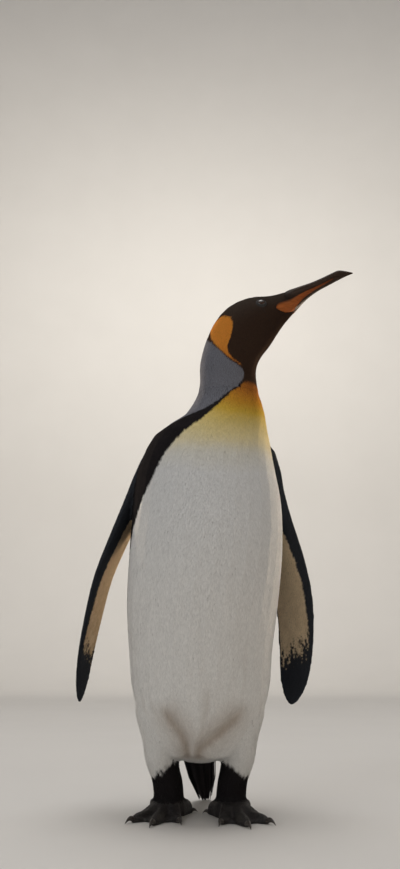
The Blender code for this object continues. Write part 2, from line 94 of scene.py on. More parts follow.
# Flippers: centre line from shoulder to tip, and the way the leading edge faces along it.
FLIPPER_LINES = {
    "left": ([(0.08, 0.034, 0.548), (0.1005, 0.038, 0.518), (0.105, 0.041, 0.48), (0.1155, 0.043, 0.428),
              (0.133, 0.043, 0.365), (0.146, 0.045, 0.302), (0.148, 0.049, 0.245), (0.145, 0.053, 0.195),
              (0.1385, 0.058, 0.146)], (50, 60, 62)),
    "right": ([(-0.061, 0.004, 0.525), (-0.081, 0.006, 0.49), (-0.103, 0.008, 0.44), (-0.1255, 0.01, 0.388),
               (-0.1465, 0.013, 0.335), (-0.161, 0.018, 0.275), (-0.171, 0.025, 0.225),
               (-0.1805, 0.036, 0.151)], (25, 17, 17)),
}
FLIPPER_HALF_WIDTHS = [(0, 0.027), (0.14, 0.031), (0.35, 0.0335), (0.6, 0.033), (0.75, 0.0305),
                       (0.87, 0.0265), (0.945, 0.0195), (1, 0.01)]
TAIL_START, TAIL_END = (-0.009, 0.052, 0.125), (0.008, 0.127, 0.0012)
TAIL_STATIONS = [(0, (0.024, 0.022)), (0.35, (0.027, 0.014)), (0.7, (0.0205, 0.0085)), (1, (0.0085, 0.005))]
FOOT_CENTRES = {"left": (0.045, -0.008), "right": (-0.045, 0.003)}
LEG_AXIS = 0.052  # distance of a leg's middle from the body's middle
# Toes: degrees outward from straight ahead, length, height of the end, claw length.
TOES = {"inner": (-14, 0.068, 0.0105, 0.0155), "middle": (12, 0.084, 0.0115, 0.0175),
        "outer": (37, 0.077, 0.011, 0.015), "hind": (-112, 0.037, 0.008, 0.008)}

# ---------------------------------------------------------------- skin and its folds
LIMBS = [f"{limb}_{side}" for limb in ("flipper", "leg", "foot") for side in SIDES]
FLESH = ["trunk", "neck", "head", *LIMBS, "tail"]
EYES = ["eye_left", "eye_right"]  # fused in too, so that no socket is left
SWELL = 0.0004  # closes the gaps between the nodes before they are fused
VOXEL = 0.0018
SKIN_TRIANGLES = 180_000
# Depth of the coat on each kind of node and rounds of smoothing of the skin.
COAT_DEPTH = {"trunk": 0.0016, "neck": 0.0014, "head": 0.0006, "flipper": 0.0008, "leg": 0.0016,
              "foot": 0.0003, "tail": 0.0024}
SMOOTH_ROUNDS = {"trunk": 40, "neck": 24, "head": 12, "flipper": 12, "leg": 20, "foot": 4, "tail": 10}
DEPTH_ROUNDS, LIE_ROUNDS = 12, 16  # rounds that even out the coat's depth and its lie
BILL_ROOT_THIN = 0.0006  # how much thinner the coat is by the bill
# Folds between belly and thighs: points on the front, x and z, with depth and half width. The first
# is as deep as any.
FOLDS = [
    ([(-0.058, 0.158), (-0.037, 0.131), (-0.0265, 0.117), (-0.0195, 0.103), (-0.017, 0.082)], 0.0058, 0.008),
    ([(0.066, 0.16), (0.046, 0.133), (0.0245, 0.115), (0.0105, 0.104), (0, 0.096), (-0.0025, 0.082)],
     0.0058, 0.008),
    ([(0.012, 0.185), (0.01, 0.15), (0.004, 0.121), (-0.002, 0.097)], 0.0012, 0.005),
]


def smooth_table(keys, rows, at):
    """Rows of numbers given at rising keys, read at other places along a smooth curve."""
    keys, rows = np.asarray(keys, float), np.asarray(rows, float)
    steps = np.diff(keys)[:, None]
    slopes = np.diff(rows, axis=0) / steps
    inner = (slopes[:-1] * steps[1:] + slopes[1:] * steps[:-1]) / (steps[:-1] + steps[1:])
    tangents = np.concatenate([slopes[:1], inner, slopes[-1:]])
    i = np.clip(np.searchsorted(keys, at, side="right") - 1, 0, len(keys) - 2)
    h = steps[i]
    t = (at - keys[i])[:, None] / h
    return ((2 * t**3 - 3 * t**2 + 1) * rows[i] + (t**3 - 2 * t**2 + t) * h * tangents[i]
            + (3 * t**2 - 2 * t**3) * rows[i + 1] + (t**3 - t**2) * h * tangents[i + 1])


def table_value(table, at):
    """A table of places and numbers, or rows of numbers, read in between along straight lines."""
    keys, values = zip(*table)
    if np.ndim(values[0]) == 0:
        return np.interp(at, keys, values)
    return np.stack([np.interp(at, keys, band) for band in zip(*values)], axis=-1)


def path_lengths(points):
    steps = np.linalg.norm(np.diff(np.asarray(points, float), axis=0), axis=1)
    return np.concatenate([[0], np.cumsum(steps)])


def unit(vectors):
    return vectors / np.maximum(np.linalg.norm(vectors, axis=-1, keepdims=True), 1e-12)


def dot(a, b):
    return np.sum(a * b, axis=-1)


def smoothstep(low, high, value):
    t = np.clip((value - low) / (high - low), 0, 1)
    return t * t * (3 - 2 * t)


def lattice(cells, seed):
    """A repeatable number from 0 to 1 for each whole-numbered cell."""
    n = cells.astype(np.int64)
    mixed = n[..., 0] * 73856093 ^ n[..., 1] * 19349663 ^ n[..., 2] * 83492791 ^ seed * 2654435761
    mixed = (mixed ^ (mixed >> 13)) * 1274126177 & 0x7FFFFFFF
    return (mixed ^ (mixed >> 16)) % 65536 / 65535


def noise(points, size, seed=0):
    """Smooth noise from -1 to 1 with blobs of the given size, which may be one for each axis."""
    p = points / np.asarray(size, float)
    base = np.floor(p)
    f = p - base
    f = f * f * (3 - 2 * f)
    total = np.zeros(len(points))
    for corner in np.ndindex(2, 2, 2):
        c = np.array(corner)
        total += np.prod(np.where(c == 1, f, 1 - f), axis=1) * lattice(base + c, seed)
    return total * 2 - 1


# ---------------------------------------------------------------- places on the body
class Line:
    """A limb's line: distances along it, with centres and unit vectors along, across and out of it."""

    def __init__(self, keys, centres, way, across, out):
        self.keys, self.centres, self.way, self.across, self.out = keys, centres, way, across, out

    def nearest(self, points, low=-1.0, high=2.0, slack=0.002, chunk=20_000):
        """The ring, between two distances along the line, whose plane each point is nearest to."""
        rings = np.flatnonzero((self.keys >= low - slack) & (self.keys <= high + slack))
        planes = self.way[rings]
        offsets = dot(self.centres[rings], planes)
        found = [rings[np.argmin(np.abs(points[i:i + chunk] @ planes.T - offsets), axis=1)]
                 for i in range(0, len(points), chunk)]
        return np.concatenate(found) if found else np.zeros(0, int)

    def offsets(self, points, ring):
        """How far points are across and out from their rings' centres."""
        offset = points - self.centres[ring]
        return dot(offset, self.across[ring]), dot(offset, self.out[ring])


def facing(turn, side=1):
    """Level unit vectors ahead, turned by angles to one side."""
    return np.stack([side * np.sin(turn), -np.cos(turn), np.zeros(len(turn))], axis=1)


AXIS_NAMES = [row[0] for row in AXIS]
AXIS_ROWS = np.array([row[1:] for row in AXIS], float)
AXIS_KEYS = path_lengths(AXIS_ROWS[:, :3])


def axis_key(name):
    return AXIS_KEYS[AXIS_NAMES.index(name)]


def body_line():
    """The body's axis, with its unit vectors headward, to the left and to the belly side."""
    keys = np.linspace(0, AXIS_KEYS[-1], AXIS_RINGS)
    read = smooth_table(AXIS_KEYS, AXIS_ROWS, keys)
    turn, lean = np.radians(read[:, 3]), np.radians(read[:, 4])
    left = facing(turn + math.pi / 2)
    ventral = facing(turn) * np.cos(lean)[:, None] - UP * np.sin(lean)[:, None]
    return Line(keys, read[:, :3] + CENTRING, np.cross(ventral, left), left, ventral)


def flipper_line(word):
    """A flipper's line, with its unit vectors to the tip, to the front edge and out of its flat side."""
    line, turns = FLIPPER_LINES[word]
    line = np.array(line) + CENTRING
    at = np.linspace(0, 1, FLIPPER_RINGS)
    centres = smooth_table(path_lengths(line) / path_lengths(line)[-1], line, at)
    way = unit(np.gradient(centres, axis=0))
    lead = facing(np.radians(np.interp(at, (0, 0.5, 1), turns)), SIDES[word])
    lead = unit(lead - way * dot(lead, way)[:, None])
    return Line(at, centres, way, lead, np.cross(way, lead))


BODY_LINE = body_line()
FLIPPERS = {word: flipper_line(word) for word in SIDES}


class Places:
    """Where points are on the body: node, distance along it and angle or chord round it."""

    def __init__(self, points, node):
        self.co, self.node = points, node
        self.along, self.round, self.under = np.zeros((3, len(points)))
        self.lie = np.tile((0.0, 0.0, -1.0), (len(points), 1))
        for name, span in CORE_SPANS.items():
            self.place_core(node == name, *map(axis_key, span))
        for word, side in SIDES.items():
            self.place_flipper(node == "flipper_" + word, FLIPPERS[word], side)
            self.place_leg(node == "leg_" + word, side)
            self.place_foot(node == "foot_" + word, word)
        self.place_tail(node == "tail")

    def part(self, chosen):
        """The same places, but only the chosen ones."""
        fewer = object.__new__(Places)
        fewer.__dict__ = {name: values[chosen] for name, values in self.__dict__.items()}
        return fewer

    def place_core(self, chosen, low, high):
        """along is from the vent, round is degrees from the belly's midline, positive on the left."""
        points = self.co[chosen]
        ring = BODY_LINE.nearest(points, low, high)
        self.along[chosen] = BODY_LINE.keys[ring]
        self.round[chosen] = np.degrees(np.arctan2(*BODY_LINE.offsets(points, ring)))
        low_down = smoothstep(0.13, 0.07, points[:, 2])[:, None]
        self.lie[chosen] = -BODY_LINE.way[ring] + low_down * np.array((0, 1.6, 0))

    def place_flipper(self, chosen, line, side):
        """along is the share to the tip, round the chord from -1 at the back edge to 1 in front."""
        points = self.co[chosen]
        near = line.nearest(points)
        ahead, out = line.offsets(points, near)
        self.along[chosen] = line.keys[near]
        self.round[chosen] = np.clip(ahead / table_value(FLIPPER_HALF_WIDTHS, line.keys[near]), -1, 1)
        self.under[chosen] = out * side
        self.lie[chosen] = line.way[near] - 0.22 * line.across[near]

    def place_leg(self, chosen, side):
        points = self.co[chosen] - CENTRING
        self.along[chosen] = points[:, 2]
        self.round[chosen] = np.degrees(np.arctan2(side * points[:, 0] - LEG_AXIS, -points[:, 1]))

    def place_foot(self, chosen, word):
        offset = self.co[chosen] - CENTRING - np.array((*FOOT_CENTRES[word], 0))
        self.along[chosen], self.round[chosen] = offset[:, 1], offset[:, 0]
        self.lie[chosen] = offset * np.array((1, 1, 0)) + np.array((0, -0.004, -0.006))

    def place_tail(self, chosen):
        start, end = np.array(TAIL_START) + CENTRING, np.array(TAIL_END) + CENTRING
        way = end - start
        offset = self.co[chosen] - start
        self.along[chosen] = offset @ way / dot(way, way)
        self.round[chosen] = np.degrees(np.arctan2(offset[:, 0], offset @ np.cross(way, (1, 0, 0))))
        self.lie[chosen] = unit(way)


def fold_profile(local, line, half):
    """1 along a fold's line, fading to 0 beside it and towards its upper end."""
    line = np.array(line)
    reach = path_lengths(line)
    gap, at = np.full(len(local), 1.0), np.zeros(len(local))
    for start, end, before, after in zip(line, line[1:], reach, reach[1:]):
        way, offset = end - start, local[:, (0, 2)] - start
        share = np.clip((offset @ way) / dot(way, way), 0, 1)
        distance = np.linalg.norm(offset - share[:, None] * way, axis=1)
        nearer = distance < gap
        gap[nearer] = distance[nearer]
        at[nearer] = (before + (after - before) * share[nearer]) / reach[-1]
    return np.exp(-(gap / half) ** 2) * smoothstep(0.0, 0.35, at) * smoothstep(-0.02, -0.05, local[:, 1])


def fold_values(points, weigh, spread=1.0):
    """The strongest fold at each point, weighed by its depth, with the folds widened by spread."""
    local = points - CENTRING
    values = [fold_profile(local, line, half * spread) * weigh(depth) for line, depth, half in FOLDS]
    return np.max(values, axis=0)


def fold_depths(points):
    """How far the folds between belly and thighs draw the skin in."""
    return fold_values(points, lambda depth: depth)


def fold_dirt_and_shade(points, spread):
    """1 at the bottom of the belly's folds, where dirt gathers and shade is painted, and 0 off them."""
    return fold_values(points, lambda depth: 0.15 + 0.85 * depth / FOLDS[0][1], spread)


# ---------------------------------------------------------------- markings
WHITE = (0.8, 0.79, 0.765)
PAINTED_SKY_SHADE = (0.66, 0.68, 0.7)  # painted cool shade from the sky, on the upper belly
DIRT_AND_SHADE = (0.29, 0.205, 0.135)  # dirt in streaks on the lower belly and in the folds, and painted shade in the folds
# The dusky cream serves both the flippers' dusky mottling towards the tip and their painted shade.
CREAM, SHADED_DUSKY_CREAM = (0.76, 0.61, 0.41), (0.4, 0.27, 0.16)
ORANGE, DEEP_ORANGE = (0.68, 0.255, 0.042), (0.46, 0.14, 0.02)
YELLOW, PALE_YELLOW = (0.62, 0.41, 0.065), (0.75, 0.64, 0.34)
# The lighter crown brown is a painted sheen on the top of the head.
BLACK, CROWN_SHEEN_BROWN, THROAT_BROWN = (0.016, 0.014, 0.015), (0.05, 0.038, 0.031), (0.04, 0.024, 0.017)
SLATE, FLIPPER_SLATE = (0.14, 0.143, 0.165), (0.03, 0.033, 0.04)
BARE_SKIN = (0.022, 0.02, 0.021)
# Edges of the black stripe, by distance along the body: degrees from the belly's midline.
FRONT_EDGE = [(0, 92), (0.06, 90), (0.15, 92), (0.3, 90), (0.355, 76), (0.384, 69), (0.4175, 58),
              (0.456, 51), (0.48, 43), (0.498, 38), (0.516, 40), (0.537, 44), (0.554, 42), (0.5614, 37),
              (0.5755, 27.5), (0.585, 18)]
BACK_EDGE = [(0, 90), (0.06, 94), (0.15, 104), (0.3, 117), (0.38, 127), (0.44, 124), (0.485, 104),
             (0.512, 73), (0.524, 59), (0.538, 52), (0.55, 48), (0.564, 40.4), (0.578, 31), (0.587, 29)]
# How much further back the white reaches on the left, whose shoulder is drawn back: degrees.
LEFT_EXTRA = [(0.26, 0), (0.34, 20), (0.42, 34), (0.5, 42), (0.545, 36), (0.578, 18), (0.6, 4)]
BACK_LIMIT = 131  # the black never reaches further round than this: degrees
BODY_RADIUS, NECK_RADIUS = 0.045, 0.042  # turn degrees round the body into metres and back
NAPE_ROUNDING = 0.0085  # radius of the slate patch's front tip
# Upper end of the slate, edges of the orange patch and end of the throat, by degrees.
NAPE_TOP = [(26, 0.5865), (31, 0.5935), (40, 0.5986), (69, 0.609), (98, 0.623), (132, 0.636), (180, 0.646)]
PATCH_LOW = [(38, 0.6015), (46, 0.6038), (60, 0.6085), (78, 0.6155), (112, 0.63), (140, 0.642), (165, 0.655)]
PATCH_HIGH = [(38, 0.601), (43, 0.6035), (60.7, 0.6098), (78.6, 0.62), (88.6, 0.6308), (94, 0.6475),
              (103, 0.6603), (112, 0.668), (125, 0.6725), (150, 0.672), (162, 0.665), (167, 0.656)]
THROAT_END = [(0, 0.578), (16, 0.577), (24, 0.5755)]
BREAST = [(0.41, WHITE), (0.44, (0.78, 0.73, 0.58)), (0.474, PALE_YELLOW), (0.5, (0.67, 0.52, 0.18)),
          (0.517, YELLOW), (0.536, (0.54, 0.265, 0.033)), (0.555, (0.44, 0.165, 0.026)),
          (0.576, (0.22, 0.075, 0.02))]
LEG_HEM = [(0.02, 0.083), (0.028, 0.08), (0.043, 0.072), (0.056, 0.06), (0.07, 0.05)]
FLIPPER_LEAD = [(0, 0.1), (0.25, 0.3), (0.5, 0.56), (0.75, 0.72), (1, 0.78)]
FLIPPER_TIP = 0.806
PAINTED_FLIPPER_SHADE = {"flipper_left": 0.1, "flipper_right": 0.45}  # painted shade: how far each flipper's cream is darkened, the right one most


def mixed(colours, other, share):
    """The colours, or one colour, moved towards another by shares."""
    colours = np.asarray(colours, float)
    return colours + (np.asarray(other, float) - colours) * np.asarray(share)[..., None]


def edge(soft, value):
    """0 where the value is negative and 1 where it is positive, with a soft edge."""
    return smoothstep(-soft, soft, value)


def breast_colours(where, along, around):
    """White to orange up the front, with painted cool shade on the upper belly, stained streaks, and dirt
    and painted shade in the folds.
    """
    place = where.co
    colours = table_value(BREAST, along - 0.01 * smoothstep(10, 45, around))
    # Painted cool shade from the sky on the upper belly.
    sky_shade = smoothstep(0.2, 0.42, along) * smoothstep(0.47, 0.44, along)
    colours = mixed(colours, PAINTED_SKY_SHADE, 0.5 * sky_shade)
    streaks = noise(place, (0.006, 0.006, 0.05), 7) * 0.5 + noise(place, (0.016, 0.016, 0.12), 8) * 0.5
    colours = mixed(colours, DIRT_AND_SHADE, smoothstep(0.1, 0.9, streaks) * smoothstep(0.3, 0.05, along) * 0.16)
    # Dirt and painted shade along the folds: narrow in them, and broad just below them.
    colours = mixed(colours, DIRT_AND_SHADE, fold_dirt_and_shade(place, 0.65) * 0.38)
    return mixed(colours, DIRT_AND_SHADE, fold_dirt_and_shade(place - 0.005 * UP, 2.4) * 0.42)


def core_colours(where, along, around):
    """Trunk, neck and head: white to orange in front, black stripe, slate behind, dark head, patch."""
    colours = breast_colours(where, along, around)
    extra = table_value(LEFT_EXTRA, along) * (where.round > 0)
    colours = mixed(colours, BLACK, edge(1.0, around - table_value(FRONT_EDGE, along) - extra))
    behind = around - np.minimum(table_value(BACK_EDGE, along) + extra, BACK_LIMIT)
    beside = np.maximum(NAPE_ROUNDING - np.radians(behind) * NECK_RADIUS, 0)
    above = np.maximum(NAPE_ROUNDING - table_value(NAPE_TOP, around) + along, 0)
    slate = smoothstep(-0.0006, 0.0012, NAPE_ROUNDING - np.hypot(beside, above))
    head = edge(0.0035, along - table_value(THROAT_END, around))
    colours = mixed(colours, THROAT_BROWN, head)
    # The crown is painted lighter, as a painted sheen from above.
    crown_sheen = smoothstep(70, 150, around) * smoothstep(0.64, 0.7, along)
    colours = mixed(colours, CROWN_SHEEN_BROWN, crown_sheen * head)
    colours = mixed(colours, SLATE, slate)
    patch = edge(0.0007, along - table_value(PATCH_LOW, around))
    patch *= edge(0.0007, table_value(PATCH_HIGH, around) - along)
    patch *= smoothstep(38, 42, around) * smoothstep(168, 164, around)
    ripe = mixed(ORANGE, DEEP_ORANGE, smoothstep(0.635, 0.612, along) * 0.5)
    return mixed(colours, ripe, patch)


def flipper_colours(where):
    """Dark above, cream below with a dark front edge and tip, the cream darkened by painted shade, most on
    the right flipper.
    """
    place, along = where.co, where.along
    streak = noise(place, (0.003, 0.003, 0.014), 11) * 0.6 + noise(place, 0.0022, 13) * 0.6
    ragged = along + 0.075 * streak * smoothstep(0.5, 0.78, along) + 0.03 * where.round
    chord = where.round + 0.035 * noise(place, 0.012, 12) + 0.05 * noise(place, 0.0025, 14)
    cream = smoothstep(-0.0004, 0.001, where.under)
    cream *= edge(0.05, table_value(FLIPPER_LEAD, along) - chord)
    cream *= edge(0.022, FLIPPER_TIP - ragged) * smoothstep(0.2, 0.28, ragged)
    cream *= smoothstep(-1.0, -0.93, where.round - 0.1 * smoothstep(0.45, 0.8, along))
    # Painted shade on each flipper's cream, plus real dusky mottling towards the tip.
    dusk_and_shade = np.array([PAINTED_FLIPPER_SHADE[name] for name in where.node])
    dusk_and_shade += smoothstep(0.35, 0.8, along) * (0.1 + 0.25 * noise(place, 0.006, 15))
    buff = mixed(CREAM, SHADED_DUSKY_CREAM, np.clip(dusk_and_shade, 0, 1))
    return mixed(FLIPPER_SLATE, buff, cream)


def leg_colours(where):
    """White thigh with a ragged hem over the dark shank."""
    x, y, z = (where.co - CENTRING).T
    hem = table_value(LEG_HEM, np.abs(x)) + 0.0065 * noise(where.co, (0.004, 0.004, 0.02), 21)
    hem += smoothstep(0.0, 0.03, y) * 0.01
    return mixed(WHITE, BLACK, edge(0.003, hem - z))


def coat_colours(where):
    """The colour of skin and coat at each place, as linear numbers."""
    colours = np.tile(BARE_SKIN, (len(where.co), 1))
    wobble = noise(where.co, 0.006, 5) * 0.0006 + noise(where.co, 0.0025, 6) * 0.0005
    core = np.isin(where.node, tuple(CORE_SPANS))
    around = np.abs(where.round) + np.degrees(wobble / BODY_RADIUS)
    colours[core] = core_colours(where.part(core), (where.along + wobble)[core], around[core])
    for limb, paint in (("flipper", flipper_colours), ("leg", leg_colours)):
        chosen = np.char.startswith(where.node, limb)
        colours[chosen] = paint(where.part(chosen))
    colours[where.node == "tail"] = BLACK
    vent = (where.node == "trunk") & (where.co[:, 1] > 0.035) & (where.co[:, 2] < 0.12)
    colours[vent] = mixed(colours[vent], BLACK, smoothstep(0.05, 0.075, where.co[vent, 1]))
    return colours


# ---------------------------------------------------------------- meshes
def add_piece(name, mesh, materials, slot, *replaced):
    """One visible piece, with the nodes it stands for, which are hidden. The slot is not used."""
    obj = new_object(name, mesh, materials)
    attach(obj, "root")
    if replaced:
        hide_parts(*replaced)


def new_object(name, data, materials=()):
    obj = bpy.data.objects.new(name, data)
    bpy.context.scene.collection.objects.link(obj)
    for one in materials:
        data.materials.append(one)
    return obj


def triangle_mesh(name, points, triangles):
    mesh = bpy.data.meshes.new(name)
    mesh.vertices.add(len(points))
    mesh.vertices.foreach_set("co", np.asarray(points, np.float32).ravel())
    mesh.loops.add(len(triangles) * 3)
    mesh.loops.foreach_set("vertex_index", np.asarray(triangles, np.int32).ravel())
    mesh.polygons.add(len(triangles))
    mesh.polygons.foreach_set("loop_start", np.arange(len(triangles), dtype=np.int32) * 3)
    mesh.update(calc_edges=True)
    return mesh


def read(items, name, width, kind=np.float32):
    """A value of a collection's items as an array with so many columns."""
    values = np.empty(len(items) * width, kind)
    items.foreach_get(name, values)
    return values.reshape(-1, width)


def mesh_points(mesh):
    return read(mesh.vertices, "co", 3).astype(float)


def mesh_normals(mesh):
    return read(mesh.vertex_normals, "vector", 3).astype(float)


def move_points(mesh, points):
    mesh.vertices.foreach_set("co", points.astype(np.float32).ravel())
    mesh.update()


def set_values(mesh, name, values, kind="FLOAT_VECTOR", field="vector"):
    """Adds an attribute that has one value for each vertex."""
    layer = mesh.attributes.new(name, kind, "POINT")
    layer.data.foreach_set(field, np.asarray(values, np.float32).ravel())


def set_colours(mesh, name, colours):
    set_values(mesh, name, np.insert(colours, 3, 1, axis=1), "FLOAT_COLOR", "color")


def with_modifier(obj, kind, **settings):
    """The object's mesh after one modifier."""
    step = obj.modifiers.new("step", kind)
    for name, value in settings.items():
        setattr(step, name, value)
    graph = bpy.context.evaluated_depsgraph_get()
    mesh = bpy.data.meshes.new_from_object(obj.evaluated_get(graph))
    bpy.data.objects.remove(obj)
    return mesh


@contextmanager
def edited(mesh):
    """The mesh as a BMesh, which is written back at the end."""
    bm = bmesh.new()
    bm.from_mesh(mesh)
    yield bm
    bm.to_mesh(mesh)
    bm.free()


def joined_mesh(name, meshes):
    """One mesh made of the given ones, which are removed."""
    bm = bmesh.new()
    for mesh in meshes:
        bm.from_mesh(mesh)
        bpy.data.meshes.remove(mesh)
    whole = bpy.data.meshes.new(name)
    bm.to_mesh(whole)
    bm.free()
    return whole


class Spreader:
    """Averages values over a mesh's neighbouring vertices."""

    def __init__(self, mesh):
        edges = read(mesh.edges, "vertices", 2, np.int32)
        self.count = len(mesh.vertices)
        self.ends, self.others = np.concatenate([edges, edges[:, ::-1]]).T
        self.neighbours = np.maximum(np.bincount(self.ends, minlength=self.count), 1)

    def average(self, values):
        sums = [np.bincount(self.ends, band[self.others], self.count) for band in values.T]
        return np.stack(sums, axis=1) / self.neighbours[:, None]


# ---------------------------------------------------------------- skin
def swollen(name):
    """A copy of a CAD node's mesh, grown by SWELL."""
    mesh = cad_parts[name].data.copy()
    with edited(mesh) as bm:
        bmesh.ops.remove_doubles(bm, verts=bm.verts, dist=1e-6)
        bm.normal_update()
        for vert in bm.verts:
            vert.co += vert.normal * SWELL
    return mesh


def fused_flesh():
    """All nodes of flesh as one closed mesh with small even faces."""
    flesh = new_object("flesh", joined_mesh("flesh", map(swollen, FLESH + EYES)))
    return without_islands(with_modifier(flesh, "REMESH", mode="VOXEL", voxel_size=VOXEL))


def without_islands(mesh):
    """Keeps only the mesh's largest connected part."""
    a, b = read(mesh.edges, "vertices", 2, np.int32).T
    label, lower = None, np.arange(len(mesh.vertices))
    while not np.array_equal(lower, label):
        label = lower
        lower = label.copy()
        np.minimum.at(lower, a, label[b])
        np.minimum.at(lower, b, label[a])
        lower = lower[lower]
    stray = np.flatnonzero(label != np.bincount(label).argmax())
    with edited(mesh) as bm:
        bm.verts.ensure_lookup_table()
        bmesh.ops.delete(bm, geom=[bm.verts[i] for i in stray], context="VERTS")
    return mesh


class NodeFinder:
    """Says which node of flesh a point is nearest to."""

    def __init__(self):
        points, triangles, names = [], [], []
        for name in FLESH:
            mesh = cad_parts[name].data
            triangles += [[len(points) + i for i in face.vertices] for face in mesh.polygons]
            points += [v.co.copy() for v in mesh.vertices]
            names += [name] * len(mesh.polygons)
        self.tree = BVHTree.FromPolygons(points, triangles)
        self.names = np.array(names)

    def nearest(self, points):
        return self.names[[self.tree.find_nearest(p)[2] for p in points.tolist()]]


def per_node(table, node):
    """A column of a table's values for the kinds of the named nodes."""
    return np.array([[float(table[name.split("_")[0]])] for name in node])


def make_skin(finder):
    """The smoothed skin with the coat's depth taken off. Gives its mesh, places and lie of the coat."""
    mesh = fused_flesh()
    spread = Spreader(mesh)
    points = mesh_points(mesh)
    node = finder.nearest(points)
    rounds = per_node(SMOOTH_ROUNDS, node)
    for step in range(max(SMOOTH_ROUNDS.values())):
        share = 0.6 if step % 2 == 0 else -0.5
        points += (spread.average(points) - points) * share * (rounds > step)
    move_points(mesh, points)
    where = Places(points, node)
    depth = per_node(COAT_DEPTH, node)
    depth[:, 0] -= smoothstep(0.725, 0.765, where.along) * (node == "head") * BILL_ROOT_THIN
    for _ in range(DEPTH_ROUNDS):
        depth = spread.average(depth)
    folded = np.isin(node, ("trunk", "leg_left", "leg_right"))
    waves = noise(points, 0.045, 31) * 0.5 + noise(points, (0.014, 0.014, 0.05), 32) * 0.22
    depth[:, 0] += SWELL + folded * (fold_depths(points) + 0.0009 * (0.7 + waves))
    points -= mesh_normals(mesh) * depth  # where.co is the same array, so it moves too
    move_points(mesh, points)
    return mesh, where, lie_of_coat(mesh, spread, where)


def along_surface(vectors, normals):
    return unit(vectors - normals * dot(vectors, normals)[:, None])


def lie_of_coat(mesh, spread, where):
    """Unit vectors along the skin from feather root to tip, at every vertex."""
    normals = mesh_normals(mesh)
    lie = unit(where.lie)
    for _ in range(LIE_ROUNDS):
        lie = unit(spread.average(lie - normals * dot(lie, normals)[:, None]))
    return along_surface(lie, normals)


# ---------------------------------------------------------------- feathers
# One vane, as shares of its length and half width. Corner 0 is the root, 3 the tip and 6 and 7 the
# two sides of its middle.
VANE_SPOTS = np.array([(0, 0), (0.42, -1), (0.8, -0.68), (1, 0), (0.8, 0.68), (0.42, 1),
                       (0.58, 0), (0.58, 0)], float)
VANE_FACES = np.array([(i, (i + 1) % 6, 6) for i in range(6)] + [((i + 1) % 6, i, 7) for i in range(6)])
BAKE_PATCH = 0.003
# How much brighter a feather is at its tip, by its tone: most on the slate back, hardly on white.
TIP_GAIN = (0.015, 0.05, 0.13, 0.3, 0.7), (1.25, 1.4, 1.7, 1.1, 1.02)


def scatter_nodes():
    """Node group that spreads points over a mesh with at least a given distance between them."""
    group = bpy.data.node_groups.new("scatter", "GeometryNodeTree")
    for way in ("INPUT", "OUTPUT"):
        group.interface.new_socket("Geometry", in_out=way, socket_type="NodeSocketGeometry")
    source, sink, spread, solid = (group.nodes.new(kind) for kind in (
        "NodeGroupInput", "NodeGroupOutput", "GeometryNodeDistributePointsOnFaces",
        "GeometryNodePointsToVertices"))
    spread.name = "spread"
    spread.distribute_method = "POISSON"
    group.links.new(source.outputs[0], spread.inputs["Mesh"])
    group.links.new(spread.outputs["Points"], solid.inputs["Points"])
    group.links.new(solid.outputs["Mesh"], sink.inputs[0])
    return group


def scattered(points, triangles, spacing, seed):
    """Points spread over triangles, none nearer to another than spacing."""
    group = bpy.data.node_groups.get("scatter") or scatter_nodes()
    settings = group.nodes["spread"].inputs
    for name, value in (("Distance Min", spacing), ("Density Max", 5.0 / spacing**2), ("Seed", seed)):
        settings[name].default_value = value
    used, triangles = np.unique(triangles, return_inverse=True)
    ground = new_object("ground", triangle_mesh("ground", points[used], triangles.reshape(-1, 3)))
    return mesh_points(with_modifier(ground, "NODES", node_group=group))


class Ground:
    """The skin as something to root feathers on."""

    def __init__(self, mesh, where, lie):
        mesh.calc_loop_triangles()
        self.triangles = read(mesh.loop_triangles, "vertices", 3, np.int32)
        self.points, self.normals = mesh_points(mesh), mesh_normals(mesh)
        self.where, self.lie = where, lie
        self.tree = BVHTree.FromPolygons(self.points.tolist(), self.triangles.tolist())

    def nearest(self, points):
        """Nearest places on the skin, with their triangles."""
        hits = [self.tree.find_nearest(p) for p in points.tolist()]
        return np.array([hit[0] for hit in hits]), np.array([hit[2] for hit in hits])

    def at(self, triangles, values):
        return values[self.triangles[triangles]].mean(axis=1)


EYE_CENTRES = {word: np.mean(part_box("eye_" + word), axis=0) for word in SIDES}
EYE_RADIUS = 0.01
LID_SKIN = 0.0125, 0.018  # the skin this far from an eye's centre sets which way it looks
SOCKET_RADIUS = 0.0096  # no feather is rooted this near to an eye's centre


def eye_distance(points):
    return np.min([np.linalg.norm(points - centre, axis=1) for centre in EYE_CENTRES.values()], axis=0)


def feather_frames(ground, roots, ruffle, seed):
    """Roots on the skin with the unit vectors along and across each feather."""
    base, triangle = ground.nearest(roots)
    out = unit(ground.at(triangle, ground.normals))
    rng = np.random.default_rng(seed)
    swing = noise(base, 0.022, seed) * 0.16 + rng.normal(0, ruffle, len(base))
    lie = along_surface(ground.at(triangle, ground.lie), out)
    lie = lie * np.cos(swing)[:, None] + np.cross(out, lie) * np.sin(swing)[:, None]
    return base, lie, np.cross(out, lie), triangle, rng


